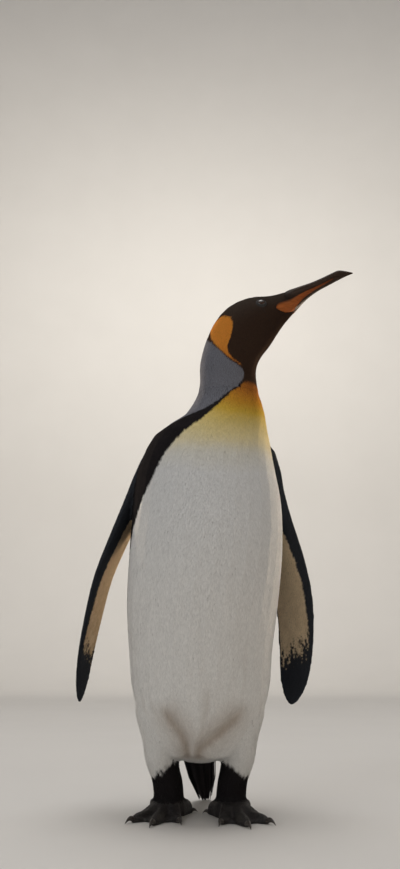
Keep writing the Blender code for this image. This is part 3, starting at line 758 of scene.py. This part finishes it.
def build_feathers(name, ground, roots, kind, unwrap, material, slot, seed):
    """One joined mesh of closed vanes at the roots, whose sizes depend on their places."""
    base, lie, across, triangle, rng = feather_frames(ground, roots, kind.ruffle, seed)
    where = Places(base, ground.where.node[ground.triangles[triangle, 0]])
    count, size = len(base), feather_sizes(kind, where)
    length = kind.length * size * rng.uniform(0.86, 1.14, count)
    half = kind.width * size * rng.uniform(0.88, 1.12, count) / 2
    lift = kind.lift * size * rng.uniform(0.75, 1.25, count)
    corners, colours = np.empty((2, count, 8, 3))
    strays = lie * rng.normal(0, 0.06, (count, 1)) + across * rng.normal(0, 0.03, (count, 1))
    strays *= length[:, None]
    for k, (a, c) in enumerate(VANE_SPOTS[:7]):
        flat = base + lie * (length * a)[:, None] + across * (half * c)[:, None]
        on_skin, under = ground.nearest(flat)
        out = unit(ground.at(under, ground.normals))
        height = lift * a - 0.0002 * (a == 0) - 0.35 * kind.thick * abs(c)
        corners[:, k] = on_skin + out * height[:, None]
        colours[:, k] = coat_colours(Places(on_skin + strays, where.node))
    corners[:, 7] = corners[:, 6] - out * kind.thick * 0.5
    corners[:, 6] += out * kind.thick * 0.5
    colours[:, 7] = colours[:, 6]
    faces = VANE_FACES + (np.arange(count) * 8)[:, None, None]
    mesh = triangle_mesh(name, corners.reshape(-1, 3), faces.reshape(-1, 3))
    # The outline's edges are sharp, so that a vane's two sides shade apart.
    outline = read(mesh.edges, "vertices", 2, np.int32) % 8 < 6
    mesh.attributes.new("sharp_edge", "BOOLEAN", "EDGE").data.foreach_set("value", outline.all(axis=1))
    gain = 1 + (np.interp(colours.mean(axis=-1), *TIP_GAIN) - 1) * VANE_SPOTS[:, 0]**2
    set_colours(mesh, "coat", (colours * gain[..., None]).reshape(-1, 3).clip(0, 1))
    set_vanes(mesh, VANE_SPOTS, rng.random(count), unwrap(where))
    add_piece(name, mesh, [material], slot)


def set_vanes(mesh, spots, luck, roots):
    """Gives each vane its shares along and across with its luck, and the map named OFBake.

    In that map a vane is a small patch at its root's place on the unwrapped skin."""
    count = len(luck)
    vane = np.broadcast_to(spots, (count, *spots.shape))
    each = np.broadcast_to(np.reshape(luck, (count, 1, 1)), (count, len(spots), 1))
    set_values(mesh, "vane", np.concatenate([vane, each], axis=2))
    low, high = roots.min(axis=0), roots.max(axis=0)
    roots = 0.01 + 0.98 * (roots - low) / np.maximum(high - low, 1e-6)
    patches = roots[:, None] + (vane * (1.0, 0.5) - (0.5, 0.0)) * BAKE_PATCH
    corner = read(mesh.loops, "vertex_index", 1, np.int32).ravel()
    layer = mesh.uv_layers.new(name="OFBake")
    layer.uv.foreach_set("vector", patches.reshape(-1, 2)[corner].astype(np.float32).ravel())


def core_map(middle):
    """An unwrap round the body that is cut opposite the given number of degrees."""
    return lambda where: np.stack([(where.round - middle + 180) % 360, where.along], axis=1)


def flipper_map(where):
    """The underside and then the upper side of a flipper, folded open at its front edge."""
    return np.stack([np.where(where.under > 0, where.round - 1, 1 - where.round), where.along], axis=1)


def side_by_side_map(where):
    """The right limb's unwrap and then the left one's."""
    left = np.char.endswith(where.node, "left")
    return np.stack([where.round + left * np.ptp(where.round) * 1.05, where.along], axis=1)


LOW_NECK = axis_key("low_neck")
FACE_STARTS = 0.715  # distance along the body where the smallest feathers begin
COAT_LIMIT = 199_000 // len(VANE_FACES)  # most feathers in one piece
FLANK, BACK_STARTS = 55, 118  # degrees from the belly's midline where the coat is cut into pieces
Plumage = namedtuple("Plumage", "spacing length width lift thick ruffle along sizes")


def feather_kind(millimetres, ruffle, along, sizes):
    """A kind from its sizes, its stray in radians and its relative size at places along the part."""
    return Plumage(*(value * MM for value in millimetres), ruffle, along, sizes)


TRUNK_SIZES = (LOW_NECK - 0.06, LOW_NECK), (1.0, 0.72)
BODY_FEATHER = feather_kind((2.12, 10.0, 3.7, 0.8, 0.26), 0.1, *TRUNK_SIZES)
BACK_FEATHER = feather_kind((2.12, 9.0, 4.2, 1.1, 0.3), 0.1, *TRUNK_SIZES)
NECK_FEATHER = feather_kind((1.32, 5.8, 2.1, 0.65, 0.22), 0.1, (LOW_NECK, LOW_NECK + 0.03), (1.25, 1.0))
HEAD_FEATHER = feather_kind((1.18, 4.8, 1.8, 0.6, 0.18), 0.1, (0.65, FACE_STARTS), (1.15, 0.9))
FACE_FEATHER = feather_kind((0.86, 3.2, 1.15, 0.45, 0.14), 0.1, (FACE_STARTS, 0.745, 0.77), (1.2, 1.0, 0.7))
FLIPPER_FEATHER = feather_kind((1.5, 4.6, 2.2, 0.5, 0.22), 0.06, (0.0, 0.25, 1.0), (1.35, 1.05, 0.9))
LEG_FEATHER = feather_kind((1.75, 8.5, 2.6, 1.1, 0.24), 0.16, (0.025, 0.05, 0.068, 0.085, 0.12),
                           (0.55, 0.75, 1.25, 1.3, 1.0))
FOOT_SCALE = feather_kind((1.9, 2.7, 2.4, 0.25, 0.55), 0.2, (0, 1), (1, 1))


def feather_sizes(kind, where):
    """Relative sizes of feathers by their places: small round the eyes and at a flipper's edges."""
    size = np.interp(where.along, kind.along, kind.sizes)
    if kind is FACE_FEATHER:
        size *= np.interp(eye_distance(where.co), (SOCKET_RADIUS, 0.017), (0.5, 1.0))
    if kind is FLIPPER_FEATHER:
        size *= 1 - 0.32 * smoothstep(0.72, 0.98, np.abs(where.round))
    return size


def coat_pieces(where):
    """Each piece of coat: its name, the skin's vertices it grows on, kind of feather, unwrap and slot."""
    trunk, head, turn = where.node == "trunk", where.node == "head", np.abs(where.round)
    flank = trunk & (turn >= FLANK) & (turn < BACK_STARTS)
    face = where.along >= FACE_STARTS
    white, slate, dark = "white_plumage", "slate_plumage", "dark_plumage"
    pieces = [
        ("belly", trunk & (turn < FLANK), BODY_FEATHER, core_map(0), white),
        ("flank_left", flank & (where.round > 0), BODY_FEATHER, core_map(90), white),
        ("flank_right", flank & (where.round < 0), BODY_FEATHER, core_map(-90), white),
        ("back", trunk & (turn >= BACK_STARTS), BACK_FEATHER, core_map(180), slate),
        ("neck", where.node == "neck", NECK_FEATHER, core_map(0), slate),
        ("head", head & ~face, HEAD_FEATHER, core_map(0), dark),
        ("face", head & face, FACE_FEATHER, core_map(0), dark),
    ]
    for name in ("flipper_left", "flipper_right"):
        pieces.append((name, where.node == name, FLIPPER_FEATHER, flipper_map, slate))
    return pieces + [("legs", np.char.startswith(where.node, "leg"), LEG_FEATHER, side_by_side_map, white)]


def grow_coat(ground, material):
    open_skin = eye_distance(ground.points) > SOCKET_RADIUS
    for seed, (name, chosen, kind, unwrap, slot) in enumerate(coat_pieces(ground.where)):
        triangles = ground.triangles[(chosen & open_skin)[ground.triangles].all(axis=1)]
        roots = scattered(ground.points, triangles, kind.spacing * (1), seed)
        if len(roots) > COAT_LIMIT:
            raise ValueError(f"{name} has {len(roots)} feathers, over {COAT_LIMIT}")
        build_feathers("plumage_" + name, ground, roots, kind, unwrap, material, slot, seed)


def grow_foot_scales(ground, material, seed=40):
    """Small domed scales all over the feet but for their soles."""
    chosen = np.char.startswith(ground.where.node, "foot") & (ground.normals[:, 2] > -0.3)
    triangles = ground.triangles[chosen[ground.triangles[:, 0]]]
    roots = scattered(ground.points, triangles, FOOT_SCALE.spacing, seed)
    build_feathers("scales_feet", ground, roots, FOOT_SCALE, side_by_side_map, material, "foot_skin", seed)


# ---------------------------------------------------------------- lofts: tail, bill, claws
def ring_quads(index):
    """The faces between rows of points, each row a closed ring."""
    beside = np.roll(index, -1, 1)
    return np.stack([index[:-1], beside[:-1], beside[1:], index[1:]], axis=-1).reshape(-1, 4).tolist()


def lofted(name, rings, closed=True):
    """A solid through rings of points. Rings that aren't closed form a tube's wall round a ring."""
    rings = np.asarray(rings, float)
    rows, sides = rings.shape[:2]
    index = np.arange(rows * sides).reshape(rows, sides)
    faces = ring_quads(index if closed else np.concatenate([index, index[:1]]))
    if closed:
        faces += [index[0][::-1].tolist(), index[-1].tolist()]
    mesh = bpy.data.meshes.new(name)
    mesh.from_pydata(rings.reshape(-1, 3).tolist(), [], faces)
    with edited(mesh) as bm:
        bmesh.ops.recalc_face_normals(bm, faces=bm.faces)
    return mesh


TAIL_VANES, TAIL_VANE_RINGS = 46, 11
TAIL_GAIN = 1.5  # the long vanes catch less light than the small ones
TAIL_WAY = np.array(TAIL_END) - TAIL_START


def tail_surface(share, angle, inset):
    """A place on the tail's outline, at a share of its length and an angle round it."""
    half, thick = table_value(TAIL_STATIONS, share) * inset
    flat = unit(np.cross((1.0, 0, 0), TAIL_WAY))
    point = TAIL_START + TAIL_WAY * share + np.array((half * math.cos(angle), 0, 0))
    point += flat * thick * math.sin(angle)
    point[2] = max(point[2], 0.0006)
    return point + CENTRING


def tail_vane(angle, first, last, half, inset):
    """Rings of one long stiff feather that lies along the tail."""
    rings = []
    for step in np.linspace(0, 1, TAIL_VANE_RINGS):
        share = first + (last - first) * step
        centre = tail_surface(share, angle, inset * (1 + 0.05 * step))
        out = unit(centre - tail_surface(share, angle, inset * 0.5) + 1e-9)
        wide = half * (0.55 + 0.45 * math.sin(math.pi * min(step * 1.3, 1.0) ** 0.8))
        wide *= math.sqrt(max(1 - (max(step - 0.72, 0) / 0.3) ** 2, 0.02))
        aside = unit(np.cross(out, TAIL_WAY)) * wide
        rings.append([centre - aside, centre + out * 0.0006, centre + aside, centre - out * 0.0004])
    return rings


def make_tail(material):
    """Long overlapping vanes all round the tail, the uppermost reaching furthest."""
    rng = np.random.default_rng(60)
    spots = np.array([(share, c) for share in np.linspace(0, 1, TAIL_VANE_RINGS) for c in (-1, 0, 1, 0)])
    vanes, roots = [], []
    for k in range(TAIL_VANES):
        angle = TAU * k / TAIL_VANES * 2.0 + rng.normal(0, 0.12)
        first = rng.uniform(0.0, 0.22) if k % 2 else rng.uniform(0.18, 0.42)
        last = min(first + rng.uniform(0.55, 0.8), 0.995)
        rings = tail_vane(angle, first, last, rng.uniform(0.0034, 0.005), 0.97 - 0.08 * (k % 2))
        vanes.append(lofted("vane", rings))
        roots.append((angle % TAU, first))
    mesh = joined_mesh("tail_feathers", vanes)
    points = mesh_points(mesh)
    set_colours(mesh, "coat", coat_colours(Places(points, np.full(len(points), "tail"))) * TAIL_GAIN)
    set_vanes(mesh, spots, np.arange(TAIL_VANES) / TAIL_VANES, np.array(roots))
    add_piece("tail_feathers", mesh, [material], "dark_plumage")


HORN = np.array((0.042, 0.025, 0.017))
PLATE_TONES = [(-0.012, (0.37, 0.108, 0.028)), (0.012, (0.3, 0.078, 0.02)), (0.072, (0.12, 0.036, 0.015))]
SUNK, SUNK_LENGTH = 0.88, 0.009  # the upper mandible's root is this small, level with the feathers, at first


def plate_share(along, down):
    """1 on the smooth plate along each side of the lower mandible, 0 off it."""
    low = np.interp(along, (-0.016, -0.006, 0.004, 0.013, 0.03, 0.05, 0.066, 0.076),
                    (1.1, 0.98, 0.85, 0.8, 0.76, 0.68, 0.5, 0.1))
    return smoothstep(0.02, 0.07, down) * smoothstep(low, low - 0.06, down) * smoothstep(0.078, 0.066, along)


def mandible(name, upper):
    """One mandible, ring by ring along the bill, with its colours."""
    rise = math.radians(BILL_RISE)
    left, ahead = facing(np.radians((BILL_TURN + 90, BILL_TURN)))
    out, above = ahead * math.cos(rise) + UP * math.sin(rise), UP * math.cos(rise) - ahead * math.sin(rise)
    rows = np.array(BILL_STATIONS)
    along = np.linspace(UPPER_STARTS if upper else LOWER_STARTS, rows[-1, 0], BILL_RINGS)[:, None]
    gape, top, bottom, half, roundness = smooth_table(rows[:, 0], rows[:, 1:], along[:, 0]).T[..., None]
    start = gape + (0.0002 if upper else -0.0002)
    reach = (top if upper else bottom) - start
    angles = np.linspace(0, math.pi, BILL_SIDES)
    down = np.abs(np.sin(angles)) ** (UPPER_ROUNDNESS if upper else roundness)
    across = np.cos(angles)
    if upper:
        sunk = SUNK + (1 - SUNK) * np.sqrt(np.minimum((along - UPPER_STARTS) / SUNK_LENGTH, 1))
        half, reach = half * sunk, reach * sunk
        groove = np.exp(-((down - 0.42) / 0.1) ** 2)
        groove = groove * np.interp(along, (0.0, 0.01, 0.06, 0.085), (0.2, 1.0, 0.6, 0.0))
        across = across * (1 - 0.075 * groove)
        tint = HORN * np.interp(along, (-0.009, 0.008), (0.5, 1.0))[..., None]
    else:
        plate = plate_share(along, down)
        across = np.sign(across) * np.abs(across) ** roundness * (1 + 0.018 * plate)
        tint = mixed(HORN, table_value(PLATE_TONES, along), plate)
    rings = (BILL_LINE + CENTRING + out * along[..., None] + left * (half * across)[..., None]
             + above * (start + reach * down)[..., None])
    mesh = lofted(name, rings)
    mesh.set_sharp_from_angle(angle=math.radians(48))
    set_colours(mesh, "horn", np.broadcast_to(tint, rings.shape).reshape(-1, 3))
    return mesh


def make_bill(material):
    for name, upper in (("bill_upper", True), ("bill_lower", False)):
        add_piece(name + "_horn", mandible(name + "_horn", upper), [material], "bill_horn", name)


def make_claws(material):
    """Claws with a keel along the top, one for each CAD claw."""
    share = np.linspace(0, 1, 24)[:, None]
    turn = np.linspace(0, TAU, 20, endpoint=False)
    keel = 1 + 0.22 * np.exp(-((turn - math.pi / 2) / 0.5) ** 2)
    for word, side in SIDES.items():
        for label, (degrees, length, height, reach) in TOES.items():
            out = facing(np.radians([degrees]), side)[0]
            radius = height * 0.32
            size = radius * (1 - 0.9 * share ** 1.5)
            middle = radius * (1.06 + 0.75 * np.sin(math.pi * share)) - (radius - size) * 0.9 * share
            start = (*FOOT_CENTRES[word], 0) + CENTRING + out * (length - 0.002)
            rings = (start + out * (reach + 0.002) * share[..., None]
                     + np.cross(out, UP) * (size * np.cos(turn))[..., None]
                     + UP * (middle + size * keel * np.sin(turn))[..., None])
            name = f"claw_{label}_{word}"
            add_piece(name + "_horn", lofted(name, rings), [material], "claw_horn", name)


# ---------------------------------------------------------------- eyes
# An eyelid's section, from the rim that lies on the eyeball out to where it goes under the feathers
# and back: distances from the line of sight and along it from the eyeball's centre, in millimetres.
LID_SECTION = [(5.9, 8.15), (6.1, 8.42), (6.45, 8.45), (6.9, 8.1), (7.4, 7.5), (7.9, 6.7), (8.5, 5.8),
               (9.0, 4.9), (8.4, 4.6), (7.5, 5.6), (6.7, 6.9)]


class EyeFrame:
    """An eyeball's centre with unit vectors along its gaze, towards the bill and up."""

    def __init__(self, word, ground):
        self.centre = EYE_CENTRES[word]
        distance = np.linalg.norm(ground.points - self.centre, axis=1)
        near, far = LID_SKIN
        self.gaze = unit(ground.normals[(distance > near) & (distance < far)].mean(axis=0))
        ring = BODY_LINE.nearest(self.centre[None], axis_key("occiput"), axis_key("lores"))[0]
        ahead = BODY_LINE.way[ring]
        self.ahead = unit(ahead - self.gaze * dot(ahead, self.gaze))
        self.up = np.cross(self.gaze, self.ahead)

    def rings(self, turns, aside, out):
        """Rings of places round the line of sight, at distances from it and along it."""
        way = self.ahead * np.cos(turns)[:, None] + self.up * np.sin(turns)[:, None]
        return self.centre + way * aside[..., None] + self.gaze * out[..., None]


def make_eye(word, pose, material):
    """The eyeball, with its clear front bulging a little."""
    turns = np.linspace(0, TAU, 48, endpoint=False)
    polar = np.linspace(0.004, math.pi - 0.004, 56)[:, None]
    radius = EYE_RADIUS - 0.0002 + 0.0006 * smoothstep(0.6, 0.0, polar)
    mesh = lofted(f"eyeball_{word}", pose.rings(turns, radius * np.sin(polar), radius * np.cos(polar)))
    gaze = np.broadcast_arrays(np.degrees(polar), np.cos(turns), np.sin(turns))
    set_values(mesh, "gaze", np.stack(gaze, axis=-1))
    add_piece(f"eyeball_{word}", mesh, [material], "eye", "eye_" + word)


def lid_mesh(pose):
    """Bare wrinkled eyelids, a little almond-shaped, that go under the feathers round the socket."""
    turns = np.linspace(0, TAU, 96, endpoint=False)
    aside, out = np.array(LID_SECTION).T[..., None]
    inner = smoothstep(9.0, 6.0, aside)
    almond = 1 + inner * (0.05 * np.cos(2 * turns) - 0.045)
    wrinkle = 0.06 * np.sin(30 * turns + 2.2 * aside) * smoothstep(6.0, 7.0, aside)
    rings = pose.rings(turns, aside * almond * MM, (out + wrinkle + 0.12 * inner) * MM)
    return lofted("lid", rings, closed=False)


# ---------------------------------------------------------------- materials
class Look:
    """A material's node tree, with short ways to add to it."""

    def __init__(self, name, roughness=0.6, **sockets):
        self.material = bpy.data.materials.new(name)
        self.material.use_nodes = True
        self.tree = self.material.node_tree
        self.shader = self.tree.nodes["Principled BSDF"].inputs
        self.shader["Roughness"].default_value = roughness
        for socket, value in sockets.items():
            self.shader[socket.replace("_", " ")].default_value = value

    def add(self, kind, inputs, output=0, **settings):
        """Adds a node, fills its inputs with numbers or other nodes' outputs, and gives an output."""
        node = self.tree.nodes.new("ShaderNode" + kind)
        for name, value in settings.items():
            setattr(node, name, value)
        for name, value in inputs.items():
            self.fill(node.inputs[name], value)
        return node.outputs[output]

    def fill(self, socket, value):
        if isinstance(value, bpy.types.NodeSocket):
            self.tree.links.new(value, socket)
        else:
            socket.default_value = value

    def attribute(self, name, output="Color"):
        return self.add("Attribute", {}, output, attribute_name=name)

    def parts(self, name):
        """The three numbers of a vector attribute."""
        node = self.tree.nodes.new("ShaderNodeSeparateXYZ")
        self.fill(node.inputs[0], self.attribute(name, "Vector"))
        return node.outputs

    def maths(self, operation, a, b=0.0, c=0.0):
        return self.add("Math", {0: a, 1: b, 2: c}, operation=operation)

    def noise(self, scale, detail=3.0, stretch=None, vector=None):
        place = vector or self.add("TexCoord", {}, "Object")
        if stretch:
            place = self.add("Mapping", {"Vector": place, "Scale": stretch})
        return self.add("TexNoise", {"Vector": place, "Scale": scale, "Detail": detail})

    def range(self, value, low, high, to_low=0.0, to_high=1.0):
        return self.add("MapRange", {"Value": value, "From Min": low, "From Max": high,
                                     "To Min": to_low, "To Max": to_high})

    def vary(self, noise, low, high):
        """A number from low to high over the usual spread of a noise."""
        return self.range(noise, 0.3, 0.7, low, high)

    def blend(self, share, a, b):
        return self.add("Mix", {0: share, 6: a, 7: b}, 2, data_type="RGBA")

    def scaled(self, colour, value):
        """The colour times a number."""
        return self.add("VectorMath", {0: colour, "Scale": value}, operation="SCALE")

    def finish(self, colour, height, distance, strength, roughness=None):
        self.fill(self.shader["Base Color"], colour)
        bump = self.add("Bump", {"Height": height, "Distance": distance, "Strength": strength})
        self.fill(self.shader["Normal"], bump)
        if roughness is not None:
            self.fill(self.shader["Roughness"], roughness)
        return self.material


def plumage_look():
    """Feather vanes: fine barbs slanting from a pale shaft, each feather a little different."""
    look = Look("plumage", Sheen_Weight=0.02, Sheen_Roughness=0.35, Specular_IOR_Level=0.0)
    along, across, luck = look.parts("vane")
    aside = look.maths("ABSOLUTE", across)
    barbs = look.maths("SINE", look.maths("MULTIPLY_ADD", along, 95.0, look.maths("MULTIPLY", aside, -38.0)))
    streak = look.noise(900.0, 2.0, (1.0, 1.0, 0.22))
    shaft = look.range(aside, 0.0, 0.12, 1.0, 0.0)
    tone = look.maths("MULTIPLY", look.range(barbs, -1.0, 1.0, 0.965, 1.03), look.vary(streak, 0.93, 1.06))
    tone = look.maths("MULTIPLY", tone, look.range(luck, 0.0, 1.0, 0.955, 1.045))
    tone = look.maths("MULTIPLY_ADD", shaft, 0.06, tone)
    height = look.maths("MULTIPLY_ADD", barbs, 0.35, look.maths("ADD", shaft, streak))
    return look.finish(look.scaled(look.attribute("coat"), tone), height, 0.00025, 0.35,
                       look.vary(streak, 0.5, 0.68))


def skin_look():
    """Down and feather bases seen between the vanes."""
    look = Look("feathered_skin", Specular_IOR_Level=0.2)
    fluff = look.noise(1400.0, 4.0, (1.0, 1.0, 0.3))
    colour = look.scaled(look.attribute("coat"), look.vary(fluff, 0.62, 0.92))
    return look.finish(colour, fluff, 0.0006, 0.5, look.vary(fluff, 0.7, 0.9))


def bare_look():
    """Black leathery skin with small scales, dust-grey in the creases."""
    look = Look("bare_skin", Specular_IOR_Level=0.45)
    cells = {"Vector": look.add("TexCoord", {}, "Object"), "Scale": 520.0}
    edges = look.add("TexVoronoi", cells, feature="DISTANCE_TO_EDGE")
    patchy = look.noise(120.0, 5.0)
    colour = look.blend(look.range(patchy, 0.35, 0.7), (0.01, 0.009, 0.009, 1), (0.03, 0.026, 0.025, 1))
    crease = look.maths("MULTIPLY", look.range(edges, 0.0, 0.1, 1.0, 0.0), 0.4)
    colour = look.blend(crease, colour, (0.05, 0.045, 0.041, 1))
    height = look.maths("SUBTRACT", look.range(edges, 0.0, 0.2), look.maths("MULTIPLY", patchy, 0.3))
    return look.finish(colour, height, 0.0003, 0.5, look.vary(patchy, 0.42, 0.62))


def foot_scale_look():
    """Raised foot scales, each with its own shade, worn paler in the middle."""
    look = Look("foot_scales", Specular_IOR_Level=0.3)
    along, _, luck = look.parts("vane")
    worn = look.maths("MULTIPLY", look.range(along, 0.1, 0.9, 0.2, 1.0), luck)
    grain = look.noise(2200.0)
    colour = look.blend(worn, (0.016, 0.014, 0.015, 1), (0.06, 0.054, 0.052, 1))
    return look.finish(look.scaled(colour, look.vary(grain, 0.8, 1.2)), grain, 0.0001, 0.5,
                       look.vary(grain, 0.52, 0.7))


def horn_look():
    """Bill sheath: satin, with fine lines along it and dull scuffs."""
    look = Look("bill_sheath", Coat_Weight=0.18, Coat_Roughness=0.38, Specular_IOR_Level=0.0)
    lines = look.noise(420.0, 4.0, (0.22, 1.0, 1.0))
    scuff = look.noise(160.0, 6.0)
    colour = look.scaled(look.attribute("horn"), look.vary(lines, 0.82, 1.18))
    colour = look.blend(look.range(scuff, 0.55, 0.8, 0.0, 0.16), colour, (0.16, 0.12, 0.1, 1))
    return look.finish(colour, lines, 0.00008, 0.3, look.range(scuff, 0.35, 0.7, 0.42, 0.58))


def claw_look():
    look = Look("claw_sheath", Coat_Weight=0.15, Coat_Roughness=0.25)
    lines = look.noise(700.0, 3.0, (1.0, 0.3, 1.0))
    colour = look.blend(look.range(lines, 0.3, 0.75), (0.012, 0.01, 0.01, 1), (0.06, 0.048, 0.04, 1))
    return look.finish(colour, lines, 0.00015, 0.5, look.vary(lines, 0.3, 0.5))


def eye_look():
    """Black pupil, brown iris with fibres, dark rim, under a wet clear coat."""
    look = Look("eyeball", 0.25, Coat_Weight=0.8, Coat_Roughness=0.03, Specular_IOR_Level=0.3)
    polar, cosine, sine = look.parts("gaze")
    spoke = {axis: look.maths("MULTIPLY", value, scale)
             for axis, (value, scale) in enumerate(((cosine, 9.0), (sine, 9.0), (polar, 0.05)))}
    fibres = look.noise(1.6, 5.0, vector=look.add("CombineXYZ", spoke))
    iris = look.blend(look.vary(fibres, 0.0, 1.0), (0.022, 0.008, 0.004, 1), (0.085, 0.03, 0.01, 1))
    iris = look.blend(look.range(polar, 13.0, 14.5, 1.0, 0.0), iris, (0.002, 0.002, 0.002, 1))
    colour = look.blend(look.range(polar, 27.0, 31.0), iris, (0.008, 0.006, 0.005, 1))
    return look.finish(colour, fibres, 0.00005, 0.2)


def floor_look():
    look = Look("studio_floor", 0.85, Specular_IOR_Level=0.2)
    colour = look.blend(look.noise(3.0, 4.0), (0.7, 0.68, 0.65, 1), (0.74, 0.72, 0.69, 1))
    return look.finish(colour, look.noise(260.0), 0.0003, 0.15)


# ---------------------------------------------------------------- studio
IMAGE_HEIGHT, FOCAL = 869, 850  # the photograph's height and the camera's focal length in the same units
CAMERA_BACK, CAMERA_HEIGHT, CAMERA_RISE = 1.3, 0.22, 14.51
SENSOR = 36.0
WARM = (1.0, 0.82, 0.62)


def make_camera():
    """A camera near the ground that looks up at the bird."""
    lens = bpy.data.cameras.new("camera")
    lens.sensor_width = SENSOR
    lens.lens = SENSOR * FOCAL / IMAGE_HEIGHT
    camera = new_object("camera", lens)
    camera.location = CENTRING + (0, -CAMERA_BACK, CAMERA_HEIGHT)
    camera.rotation_euler = (math.radians(90 + CAMERA_RISE), 0, 0)
    bpy.context.scene.camera = camera


def make_studio():
    """A pale floor that sweeps up into high pale walls all round."""
    wall, bend, top = 6.2, 1.6, 9.0
    arc = [(wall - bend + bend * math.sin(turn), bend - bend * math.cos(turn))
           for turn in np.linspace(0, math.pi / 2, 16)]
    radius, height = np.array([(0.6, 0), (1.6, 0), (3.0, 0), *arc, (wall, 4.0), (wall, top)]).T[..., None]
    turns = np.linspace(0, TAU, 96, endpoint=False)
    points = np.stack(np.broadcast_arrays(radius * np.cos(turns), radius * np.sin(turns), height), axis=-1)
    index = np.arange(points[..., 0].size).reshape(len(radius), -1)
    middle = [(i, j, index.size) for i, j in zip(index[0], np.roll(index[0], -1))]
    mesh = bpy.data.meshes.new("studio")
    mesh.from_pydata([*points.reshape(-1, 3), (0, 0, 0)], [], ring_quads(index[:, ::-1]) + middle)
    mesh.shade_smooth()
    new_object("studio", mesh, [floor_look()])


def add_light(name, place, aim, size, watts, colour, spread=180):
    """A round soft light, as wide as a number of degrees. The camera doesn't see it."""
    lamp = bpy.data.lights.new(name, "AREA")
    lamp.shape, lamp.size, lamp.energy, lamp.color = "DISK", size, watts, colour
    lamp.spread = math.radians(spread)
    obj = new_object(name, lamp)
    obj.location = place
    obj.rotation_euler = (Vector(aim) - Vector(place)).to_track_quat("-Z", "Y").to_euler()
    obj.visible_camera = False


def make_light():
    """Soft shade on the breast, a warm rim from behind on each side and a glow on the backdrop."""
    add_light("key", (-1.9, -2.3, 1.7), (0, 0, 0.45), 1.6, 12, (0.9, 0.95, 1.0))
    add_light("fill", (2.3, -1.6, 0.7), (0, 0, 0.45), 1.6, 3, (1.0, 0.82, 0.64))
    for word, side in SIDES.items():
        add_light("rim_" + word, (-1.6 * side, 1.8, 0.9), (0, 0, 0.6), 0.4, 1.5, WARM, 20)
    add_light("top", (0, 0.4, 4.5), (0, 0.4, 0), 3.0, 75, (1.0, 0.98, 0.95))
    add_light("backdrop", (0, 1.8, 3.6), (0, 6.2, 3.4), 2.0, 80, (1.0, 0.96, 0.9), 130)
    world = bpy.data.worlds.new("studio")
    world.use_nodes = True
    background = world.node_tree.nodes["Background"].inputs
    background["Color"].default_value = (0.97, 0.97, 1.0, 1)
    background["Strength"].default_value = 0.4
    bpy.context.scene.world = world
    bpy.context.scene.view_settings.view_transform = "Standard"


# ---------------------------------------------------------------- the whole bird
def finished_skin(mesh, where, eyes, plumage_skin, bare_skin):
    """The skin that shows: fewer faces, the markings, and the eyelids joined on."""
    set_colours(mesh, "coat", coat_colours(where))
    set_values(mesh, "bare", np.char.startswith(where.node, "foot"), "FLOAT", "value")
    share = SKIN_TRIANGLES / (2 * len(mesh.polygons))
    thin = with_modifier(new_object("dense", mesh), "DECIMATE", ratio=share)
    with edited(thin) as bm:
        layer = bm.verts.layers.float["bare"]
        for face in bm.faces:
            face.material_index = int(face.verts[0][layer] > 0.5)
            face.smooth = True
        for pose in eyes.values():
            first = len(bm.faces)
            bm.from_mesh(lid_mesh(pose))
            bm.faces.ensure_lookup_table()
            for face in bm.faces[first:]:
                face.material_index = 1
    add_piece("skin", thin, [plumage_skin, bare_skin], "white_plumage", *FLESH)


def main():
    plumage, scales = plumage_look(), foot_scale_look()
    mesh, where, lie = make_skin(NodeFinder())
    ground = Ground(mesh, where, lie)
    grow_coat(ground, plumage)
    grow_foot_scales(ground, scales)
    make_tail(plumage)
    eyes = {word: EyeFrame(word, ground) for word in SIDES}
    finished_skin(mesh, where, eyes, skin_look(), bare_look())
    eye = eye_look()
    for word, pose in eyes.items():
        make_eye(word, pose, eye)
    make_bill(horn_look())
    make_claws(claw_look())
    make_studio()
    make_light()
    make_camera()


main()
